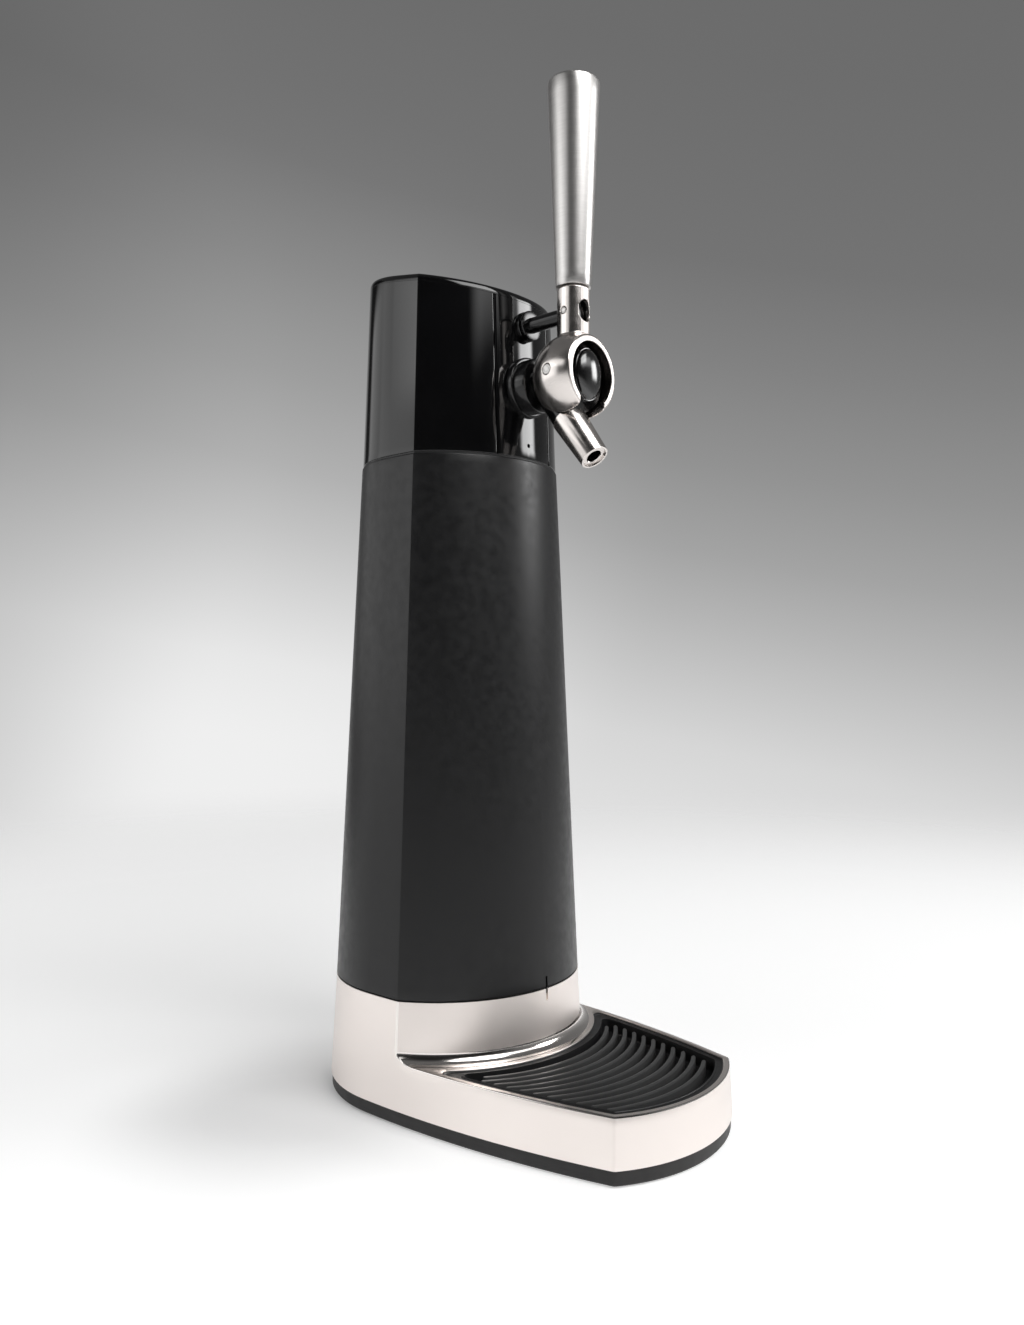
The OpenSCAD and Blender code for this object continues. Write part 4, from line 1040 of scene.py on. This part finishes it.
def surface_net(field, axes):
    """Quad mesh of the zero level of a distance field on a grid, pulled onto the surface."""
    value = field(*np.meshgrid(*axes, indexing="ij"))
    inside = value < 0
    shape = tuple(n - 1 for n in value.shape)
    corners = [(i, j, k) for i in (0, 1) for j in (0, 1) for k in (0, 1)]

    def corner(block, c):
        return block[c[0]:c[0] + shape[0], c[1]:c[1] + shape[1], c[2]:c[2] + shape[2]]

    total = sum(corner(inside, c).astype(int) for c in corners)
    active = (total > 0) & (total < 8)
    cells = np.argwhere(active)
    index = np.full(shape, -1)
    index[active] = np.arange(len(cells))
    sums = np.zeros((len(cells), 3))
    hits = np.zeros(len(cells))
    for a in corners:
        for axis in range(3):
            if a[axis]:
                continue
            b = list(a)
            b[axis] = 1
            va = corner(value, a)[active]
            vb = corner(value, tuple(b))[active]
            cross = (va < 0) != (vb < 0)
            t = np.where(cross, va / np.where(cross, va - vb, 1.0), 0.0)
            p = np.tile(np.array(a, float), (len(cells), 1))
            p[:, axis] += t
            sums += p * cross[:, None]
            hits += cross
    corner_at = np.stack([axes[i][cells[:, i]] for i in range(3)], 1)
    span = np.stack([np.diff(axes[i])[cells[:, i]] for i in range(3)], 1)
    points = corner_at + sums / hits[:, None] * span
    for _ in range(NET_PULLS):
        slope = slope_of(field, points)
        size = np.maximum(np.sum(slope * slope, axis=1), NET_LEAST)
        move = (field(*points.T) / size)[:, None] * slope
        points -= np.clip(move, -NET_MOVE * span, NET_MOVE * span)
    faces = []
    for axis in range(3):
        u, v = [i for i in range(3) if i != axis]
        lo = [slice(1, -1)] * 3
        hi = [slice(1, -1)] * 3
        lo[axis] = slice(0, -1)
        hi[axis] = slice(1, None)
        offset = np.ones(3, int)
        offset[axis] = 0
        for s in np.argwhere(inside[tuple(lo)] != inside[tuple(hi)]) + offset:
            quad = []
            for du, dv in ((-1, -1), (0, -1), (0, 0), (-1, 0)):
                q = s.copy()
                q[u] += du
                q[v] += dv
                quad.append(int(index[tuple(q)]))
            if min(quad) >= 0:
                faces.append(quad)
    return points, faces


def soft_max(a, b, r):
    """The larger of two fields, with the outside edge between them rounded by about r."""
    u = np.maximum(a + r, 0)
    v = np.maximum(b + r, 0)
    return np.minimum(np.maximum(a, b), -r) + np.sqrt(u * u + v * v)


def soft_min(a, b, r):
    """The smaller of two fields, with the inside corner between them filled by about r."""
    return -soft_max(-a, -b, r)


def tap_field(x, y, z):
    """Distance field of the ball shell with its ferrule, about the pivot."""
    ahead_y = y + BALL_AHEAD
    ball = np.sqrt(x * x + ahead_y * ahead_y + z * z) - BALL_R
    stem = soft_max(np.sqrt(x * x + y * y) - FERRULE_R, z - FERRULE_LEN, 0.5)
    stem = np.maximum(stem, FERRULE_LOW - z)
    body = soft_min(ball, stem, 0.5)
    body = soft_max(body, -(ball + BALL_WALL), 0.3)
    cone = RING_LEAN * (np.sqrt(x * x + z * z) - RING_R)
    mouth = np.minimum(cone - FACE_CUT - ahead_y, BALL_R - 0.8 - z)
    body = soft_max(body, np.maximum(mouth, -20.0), 0.6)
    under = np.maximum(np.abs(x) - YOKE_HALF, z + BALL_R / 3)
    body = soft_max(body, -under, 0.5)
    behind = np.maximum(np.maximum(np.abs(x) - YOKE_HALF, z - YOKE_H), -y)
    body = soft_max(body, -behind, 0.4)
    for r, half, end in ((SLOT_R, SLOT_HALF, SLOT_END + y), (SIGHT_R, SIGHT_HALF, -y)):
        dz = np.maximum(np.abs(z - ROD_LIFT) - (half - r), 0.0)
        slot = np.maximum(np.sqrt(x * x + dz * dz) - r, -end)
        body = soft_max(body, -slot, 0.35)
    for height, r in ((0.0, PIVOT_PIN_R), (ROD_LIFT, ROD_PIN_R)):
        bore = np.sqrt(y * y + (z - height) ** 2) - r
        body = soft_max(body, -bore, 0.3)
    return body


def tap_shell():
    reach = BALL_R + 0.6
    front = -BALL_AHEAD - FACE_CUT - 0.5
    fine_end = front + NET_FINE_SPAN
    across = np.concatenate([np.arange(front, fine_end, NET_FINE), np.arange(fine_end, reach, NET_STEP)])
    axes = [np.arange(-reach, reach, NET_STEP), across, np.arange(-reach, FERRULE_LEN + 0.8, NET_STEP)]
    points, faces = surface_net(tap_field, axes)
    build = Build()
    build.add(points + PIVOT)
    facing = units(slope_of(tap_field, points[np.array(faces)].mean(axis=1), NORMAL_STEP))
    for corners, way in zip(faces, facing):
        build.face(corners, int(way[1] < RING_FACING))
    obj = build.make("tap_shell_skin", [TAP_NICKEL, RING_NICKEL], 180.0)
    points = np.array([v.co for v in obj.data.vertices]) / MM - PIVOT
    normals = units(slope_of(tap_field, points, NORMAL_STEP))
    obj.data.normals_split_custom_set_from_vertices(normals.tolist())
    return obj


def pin_skin(name, half, r, z, gap=0.0):
    """Cross pin with a rounded rim and a turned ring on each end, in two halves where gap is set."""
    build = Build()
    profile = [(TIP, gap), (r, gap), (r, half - 0.35), (r - 0.1, half - 0.1), (r - 0.3, half)]
    profile += [(0.62 * r, half), (0.56 * r, half - 0.12), (0.5 * r, half), (TIP, half)]
    for side in (-1, 1):
        turn = Matrix.Rotation(side * HALF_PI, 4, "Y")
        build.lathe(profile, Matrix.Translation((0, PIVOT_Y, z)) @ turn, 48)
    return build.make(name, [PIN_STEEL], 30.0)


def faucet_body():
    build = Build()
    shank_r, neck_r, flange_r, thread_r, bore_r = 11.25, 7.0, 12.5, 8.0, 2.0
    end = BALL_R + 0.7
    wall = panel_y(PIVOT_Z) - BALL_Y
    thread_end = wall + 14.0
    mouth = math.sqrt(CORE_R ** 2 - CORE_FRONT ** 2)
    rim = -CORE_FRONT + CORE_DISH
    profile = [(TIP, -CORE_FRONT), (mouth - 0.5, rim), (mouth, rim + 0.3)]
    for a in np.linspace(math.atan2(rim + 0.3, mouth), math.acos(neck_r / CORE_R), 24)[1:]:
        profile.append((CORE_R * math.cos(a), CORE_R * math.sin(a)))
    profile += [(neck_r, end), (shank_r - 0.8, end), (shank_r - 0.25, end + 0.25), (shank_r, end + 0.8)]
    profile += [(shank_r, wall - 2.0), (flange_r - 0.4, wall - 2.0), (flange_r - 0.1, wall - 1.85)]
    profile += [(flange_r, wall - 1.5), (flange_r, wall + 0.6), (thread_r, wall + 0.6)]
    profile += [(thread_r, thread_end), (bore_r, thread_end), (bore_r, wall)]
    build.lathe(profile, along_y(BALL_Y, PIVOT_Z), 96)
    branch_r = 6.6
    bottom = SPOUT_LEN - SPOUT_REACH
    branch = [(TIP, 0.0), (branch_r, 0.0), (branch_r, bottom), (SPOUT_BORE, bottom), (SPOUT_BORE, -2.0)]
    build.lathe(branch, spout_axis(), 64)
    return build.make("faucet_skin", [TAP_BLACK], 30.0)


def core_cap():
    build = Build()
    a = np.arange(DOME_N) * TAU / DOME_N
    rim_y = BALL_Y - DOME_RIM

    def oval(share, step, y):
        return np.column_stack([(DOME[0] * share + step) * np.cos(a), np.full(DOME_N, y),
                                PIVOT_Z + (DOME[2] * share + step) * np.sin(a)])

    rows = [oval(1.0, DOME_STEP, BALL_Y - CORE_FRONT), oval(1.0, DOME_STEP, rim_y + 0.15),
            oval(1.0, DOME_STEP - 0.15, rim_y)]
    for t in np.linspace(0.0, HALF_PI, 14):
        rows.append(oval(max(math.cos(t), 0.004), 0.0, rim_y - DOME[1] * math.sin(t)))
    build.grid(rows, True)
    build.cap(rows[0])
    return build.make("dome_skin", [DOME_GLOSS], 40.0)


def spout():
    build = Build()
    tip_z, top_z = -SPOUT_REACH, SPOUT_LEN - SPOUT_REACH
    tip, top, bore = 5.9, 6.95, SPOUT_BORE
    lip = tip - 1.0
    # Height of the black end disc in the bore, which is painted shade
    painted_shade_z = tip_z + 9.0
    profile = [(bore, top_z), (top - 0.3, top_z), (top, top_z - 0.3)]
    profile += [(tip + 0.02, tip_z + 0.45), (tip - 0.12, tip_z + 0.12), (tip - 0.4, tip_z)]
    profile += [(lip + 0.1, tip_z), (lip, tip_z + 0.1), (lip - 0.1, tip_z + 0.8), (bore + 0.15, tip_z + 0.8)]
    profile += [(bore, tip_z + 1.0), (bore, top_z)]
    build.lathe(profile, spout_axis(), 96)
    # Black lining and end disc a little way up the bore: painted shade of the hole
    build.lathe([(bore, tip_z + 1.2), (bore, painted_shade_z), (TIP, painted_shade_z)], spout_axis(), 48, 1)
    return build.make("spout_skin", [TAP_NICKEL, TAP_BLACK], 30.0)


def turned(name, material, profile, matrix, n):
    build = Build()
    build.lathe(profile, matrix, n)
    return build.make(name, [material], 35.0)


def rod_bushing():
    bore, r, lip, back = 3.25, 4.5, 6.2, 8.0
    profile = [(bore, back), (bore, -3.6), (lip - 0.5, -3.6), (lip - 0.12, -3.48), (lip, -3.1), (lip, -2.6)]
    profile += [(lip - 0.12, -2.22), (lip - 0.5, -2.1), (r, -2.1), (r, -1.5), (lip - 0.5, -1.5)]
    profile += [(lip - 0.12, -1.38), (lip, -1.0), (lip, 0.5), (r, 0.5), (r, back)]
    return turned("bushing_skin", TAP_BLACK, profile, along_y(panel_y(ROD_Z), ROD_Z), 72)


def push_rod():
    start = -ROD_PIN_R - 1.8
    profile = [(TIP, start), (ROD_R - 0.7, start), (ROD_R - 0.15, start + 0.2), (ROD_R, start + 0.7)]
    profile += [(ROD_R, ROD_LEN), (TIP, ROD_LEN)]
    return turned("rod_skin", TAP_BLACK, profile, along_y(PIVOT_Y, ROD_Z), 64)


def tap_handle():
    length, r0, r1, edge = HANDLE_LEN, HANDLE_LOW_R, HANDLE_TOP_R, HANDLE_EDGE
    profile = [(4.0, 14.0), (4.0, 0.0), (r0 - 0.5, 0.0), (r0 - 0.12, 0.12), (r0 + 0.02, 0.5)]
    for s in np.linspace(0.05, 1.0, 16):
        profile.append((r0 + (r1 - r0) * s, (length - edge) * s))
    for t in np.linspace(0.0, HALF_PI, 6)[1:]:
        profile.append((r1 - edge + edge * math.cos(t), length - edge + edge * math.sin(t)))
    profile += [(5.0, length), (TIP, length)]
    return turned("handle_skin", STEEL, profile, Matrix.Translation((0, PIVOT_Y, HANDLE_LOW)), 96)


place(base_shell(), "base", "nickel", "base_shell")
place(foot_plinth(), "base", "plinth_black", "foot_plinth")
place(drip_tray(), "tray", "tray_black", "drip_tray")
place(tower_sleeve(), "tower", "sleeve_charcoal", "tower_sleeve")
place(head_shell(), "tower", "head_gloss", "head_shell")
place(head_front_panel(), "tower", "head_gloss", "head_front_panel")
place(head_top(), "tower", "head_gloss", "head_top")
place(battery_cover(), "cover", "head_gloss", "battery_cover")
place(tap_shell(), "lever", "nickel", "tap_shell")
place(faucet_body(), "tower", "tap_black", "faucet_body")
place(core_cap(), "tower", "head_gloss", "core_cap")
place(spout(), "tower", "nickel", "spout")
place(rod_bushing(), "tower", "tap_black", "rod_bushing")
place(push_rod(), "rod", "tap_black", "push_rod")
place(tap_handle(), "lever", "handle_steel", "tap_handle")
pivot_pins = pin_skin("pivot_pin_skin", BALL_R - 0.3, PIVOT_PIN_R - 0.1, PIVOT_Z, PIVOT_PIN_GAP)
place(pivot_pins, "lever", "pin_steel", "pivot_pins")
rod_pin = pin_skin("rod_pin_skin", FERRULE_R - 0.15, ROD_PIN_R - 0.08, ROD_Z)
place(rod_pin, "lever", "pin_steel", "rod_pin")

# Pieces that keep the solids of the part
KEPT = [
    (RUBBER, "rubber_feet bottle_pad base_gasket neck_seal"),
    (SCREW_STEEL, "base_screws floor_screws shank_nut"),
    (PIN_STEEL, "handle_stud return_springs"),
    (MOTOR_STEEL, "pump_motor"),
    (INNER_BLACK, "head_floor pour_switch foam_switch pump_head battery_tray"),
    (INNER_GREY, "switch_bracket rod_cam"),
    (TUBE, "pickup_tube beer_line air_line"),
    (BRASS, "foam_disc"),
    (BOARD, "circuit_board"),
    (CELL, "batteries"),
]
for material, kept_names in KEPT:
    for kept_name in kept_names.split():
        kept_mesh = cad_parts[kept_name].data
        kept_mesh.materials.clear()
        kept_mesh.materials.append(material)

# Camera of the photograph, in metres
YAW = math.radians(48.478)
PITCH = math.radians(0.746)
ROLL = math.radians(0.148)
FOCAL = 1055.95 / 1325.0
SENSOR = 36.0
EYE = Vector((-0.33499, -0.29194, 0.17574))
ahead = Vector((math.sin(YAW) * math.cos(PITCH), math.cos(YAW) * math.cos(PITCH), math.sin(PITCH)))
right = Vector((math.cos(YAW), -math.sin(YAW), 0.0))
up = right.cross(ahead)
right, up = right * math.cos(ROLL) + up * math.sin(ROLL), up * math.cos(ROLL) - right * math.sin(ROLL)
lens = bpy.data.cameras.new("camera")
lens.sensor_width = SENSOR
lens.lens = FOCAL * SENSOR
lens.clip_start = 0.01
lens.clip_end = 100.0
camera = bpy.data.objects.new("camera", lens)
bpy.context.scene.collection.objects.link(camera)
camera.matrix_world = Matrix.Translation(EYE) @ Matrix((right, up, -ahead)).transposed().to_4x4()
bpy.context.scene.camera = camera
bpy.context.scene.view_settings.view_transform = "Standard"


# Studio: a pale sweep that runs from white below to grey above, darker behind the photographer

def grey(level):
    return srgb(level, level, level)


def spread(tree, value, low, high, to_low, to_high):
    """Maps a value smoothly from one range to another."""
    ease = node(tree, "MapRange", Value=value, From_Min=low, From_Max=high, To_Min=to_low, To_Max=to_high)
    ease.interpolation_type = "SMOOTHSTEP"
    return ease.outputs["Result"]


def combined(tree, kind, operation, a, b):
    """Value of a Math or VectorMath node."""
    made = node(tree, kind)
    made.operation = operation
    fill(tree, made.inputs[0], a)
    fill(tree, made.inputs[1], b)
    return made.outputs["Value"]


def times(tree, a, b):
    return combined(tree, "Math", "MULTIPLY", a, b)


def larger(tree, a, b):
    return combined(tree, "Math", "MAXIMUM", a, b)


def towards(tree, vector, direction):
    return combined(tree, "VectorMath", "DOT_PRODUCT", vector, direction)


def distance(tree, vector, point):
    return combined(tree, "VectorMath", "DISTANCE", vector, point)


# Grey of the sweep by the height of the direction, which leans a little to the right
SKY = [(-1.0, 255), (-0.5, 255), (-0.3, 246), (-0.2, 237), (-0.1, 229), (-0.03, 220), (0.03, 204),
       (0.09, 186), (0.15, 168), (0.23, 150), (0.32, 133), (0.4, 119), (0.53, 112), (1.0, 100)]
SKY_LEAN = 0.2
VIEW_WAY = (ahead.x, ahead.y, 0.0)
# Dark card behind the object, which its sides mirror
FLAG_TURN = math.radians(92.0)
FLAG_WAY = Vector((math.cos(FLAG_TURN), math.sin(FLAG_TURN), 0.2)).normalized()
# Middle of the lighter part of the backdrop, left of the object
PATCH_WAY = (ahead - 0.22 * right + 0.134 * up).normalized()


def studio_world():
    world = bpy.data.worlds.new("studio")
    bpy.context.scene.world = world
    tree = empty_tree(world)
    way = node(tree, "TexCoord").outputs["Generated"]
    rise = towards(tree, way, (SKY_LEAN * right.x, SKY_LEAN * right.y, 1.0))
    height = node(tree, "MapRange", Value=rise, From_Min=-1.0)
    ramp = node(tree, "ValToRGB", Fac=height.outputs["Result"])
    elements = ramp.color_ramp.elements
    while len(elements) < len(SKY):
        elements.new(0.5)
    for element, (at, level) in zip(elements, SKY):
        element.position = (at + 1) / 2
        element.color = grey(level)
    room = spread(tree, towards(tree, way, VIEW_WAY), -0.75, -0.25, 0.08, 1.0)
    below = spread(tree, towards(tree, way, (0.0, 0.0, 1.0)), -0.12, 0.04, 1.0, 0.0)
    flag = spread(tree, towards(tree, way, FLAG_WAY), 0.91, 0.955, 1.0, 0.12)
    flag_rim = spread(tree, towards(tree, way, FLAG_WAY), 0.8, 0.93, 1.0, 0.72)
    patch = spread(tree, towards(tree, way, PATCH_WAY), 0.93, 0.995, 0.94, 1.12)
    lit = times(tree, times(tree, larger(tree, room, below), flag), times(tree, patch, flag_rim))
    back = node(tree, "Background", Color=ramp.outputs["Color"], Strength=lit)
    node(tree, "OutputWorld", Surface=back.outputs["Background"])


FLOOR_SPAN = 3.0
PAPER = grey(225)
# Middle of the painted shadow beside the object, where the glow of the floor is weakest
SHADE_AT = (-0.075, 0.06, 0.0)


def studio_floor():
    """A sheet of paper that glows a little where it is seen, dimmed by a painted shadow beside the object,
    and fades into the sweep.
    """
    mesh = bpy.data.meshes.new("floor")
    corners = [(x * FLOOR_SPAN, y * FLOOR_SPAN, 0) for x, y in ((-1, -1), (1, -1), (1, 1), (-1, 1))]
    mesh.from_pydata(corners, [], [(0, 1, 2, 3)])
    floor = bpy.data.objects.new("floor", mesh)
    bpy.context.scene.collection.objects.link(floor)
    paper = bpy.data.materials.new("paper")
    tree = empty_tree(paper)
    path = node(tree, "LightPath").outputs
    seen = larger(tree, path["Is Camera Ray"], path["Is Glossy Ray"])
    seen = larger(tree, seen, path["Is Transmission Ray"])
    spot = node(tree, "TexCoord").outputs["Object"]
    nearer = spread(tree, towards(tree, spot, VIEW_WAY), -0.16, 0.12, 0.5, 0.42)
    # Painted shadow: the floor's glow dims to 0.45 close to SHADE_AT, and the base mirrors this darker floor
    painted_floor_shadow = spread(tree, distance(tree, spot, SHADE_AT), 0.02, 0.09, 0.45, 1.0)
    glow = node(tree, "Emission", Strength=times(tree, times(tree, seen, nearer), painted_floor_shadow))
    both = node(tree, "AddShader")
    fill(tree, both.inputs[0], node(tree, "BsdfDiffuse", Color=PAPER).outputs["BSDF"])
    fill(tree, both.inputs[1], glow.outputs["Emission"])
    far = distance(tree, spot, (0.0, 0.0, 0.0))
    fade = node(tree, "MixShader", Fac=spread(tree, far, 0.35, 1.3, 0.0, 1.0))
    fill(tree, fade.inputs[1], both.outputs["Shader"])
    fill(tree, fade.inputs[2], node(tree, "BsdfTransparent").outputs["BSDF"])
    node(tree, "OutputMaterial", Surface=fade.outputs["Shader"])
    mesh.materials.append(paper)


def softbox(name, place_at, aim, width, height, radiance, soft_x, soft_y):
    """Area lamp that fades out over shares, soft_x and soft_y, of its width and height."""
    data = bpy.data.lights.new(name, "AREA")
    data.shape = "RECTANGLE"
    data.size = width
    data.size_y = height
    data.energy = radiance * math.pi * width * height
    data.use_nodes = True
    tree = data.node_tree
    where = node(tree, "SeparateXYZ", Vector=node(tree, "NewGeometry").outputs["Parametric"]).outputs
    shares = []
    for axis, soft in (("X", soft_x), ("Y", soft_y)):
        shares.append(spread(tree, where[axis], 0.0, soft, 0.0, 1.0))
        shares.append(spread(tree, where[axis], 1.0 - soft, 1.0, 1.0, 0.0))
    glow = times(tree, times(tree, shares[0], shares[1]), times(tree, shares[2], shares[3]))
    fill(tree, tree.nodes["Emission"].inputs["Strength"], glow)
    obj = bpy.data.objects.new(name, data)
    bpy.context.scene.collection.objects.link(obj)
    obj.location = place_at
    obj.rotation_mode = "QUATERNION"
    obj.rotation_quaternion = (Vector(aim) - Vector(place_at)).to_track_quat("-Z", "Y")


studio_world()
studio_floor()
softbox("left", (-0.985, 1.26, 0.6), (0.0, 0.0, 0.25), 3.0, 0.95, 0.82, 0.12, 0.12)
softbox("left_high", (-1.504, 0.547, 1.08), (0.0, 0.0, 0.35), 2.0, 0.6, 1.1, 0.2, 0.2)
softbox("front", (0.226, -1.28, 1.1), (0.0, 0.0, 0.3), 1.75, 0.6, 1.9, 0.25, 0.3)
softbox("window", (1.0, -0.87, 0.73), (0.0, 0.0, 0.3), 0.62, 0.6, 9.0, 0.25, 0.25)
softbox("top", (-0.148, -1.05, 1.36), (0.0, 0.0, 0.3), 1.3, 0.9, 6.5, 0.2, 0.2)
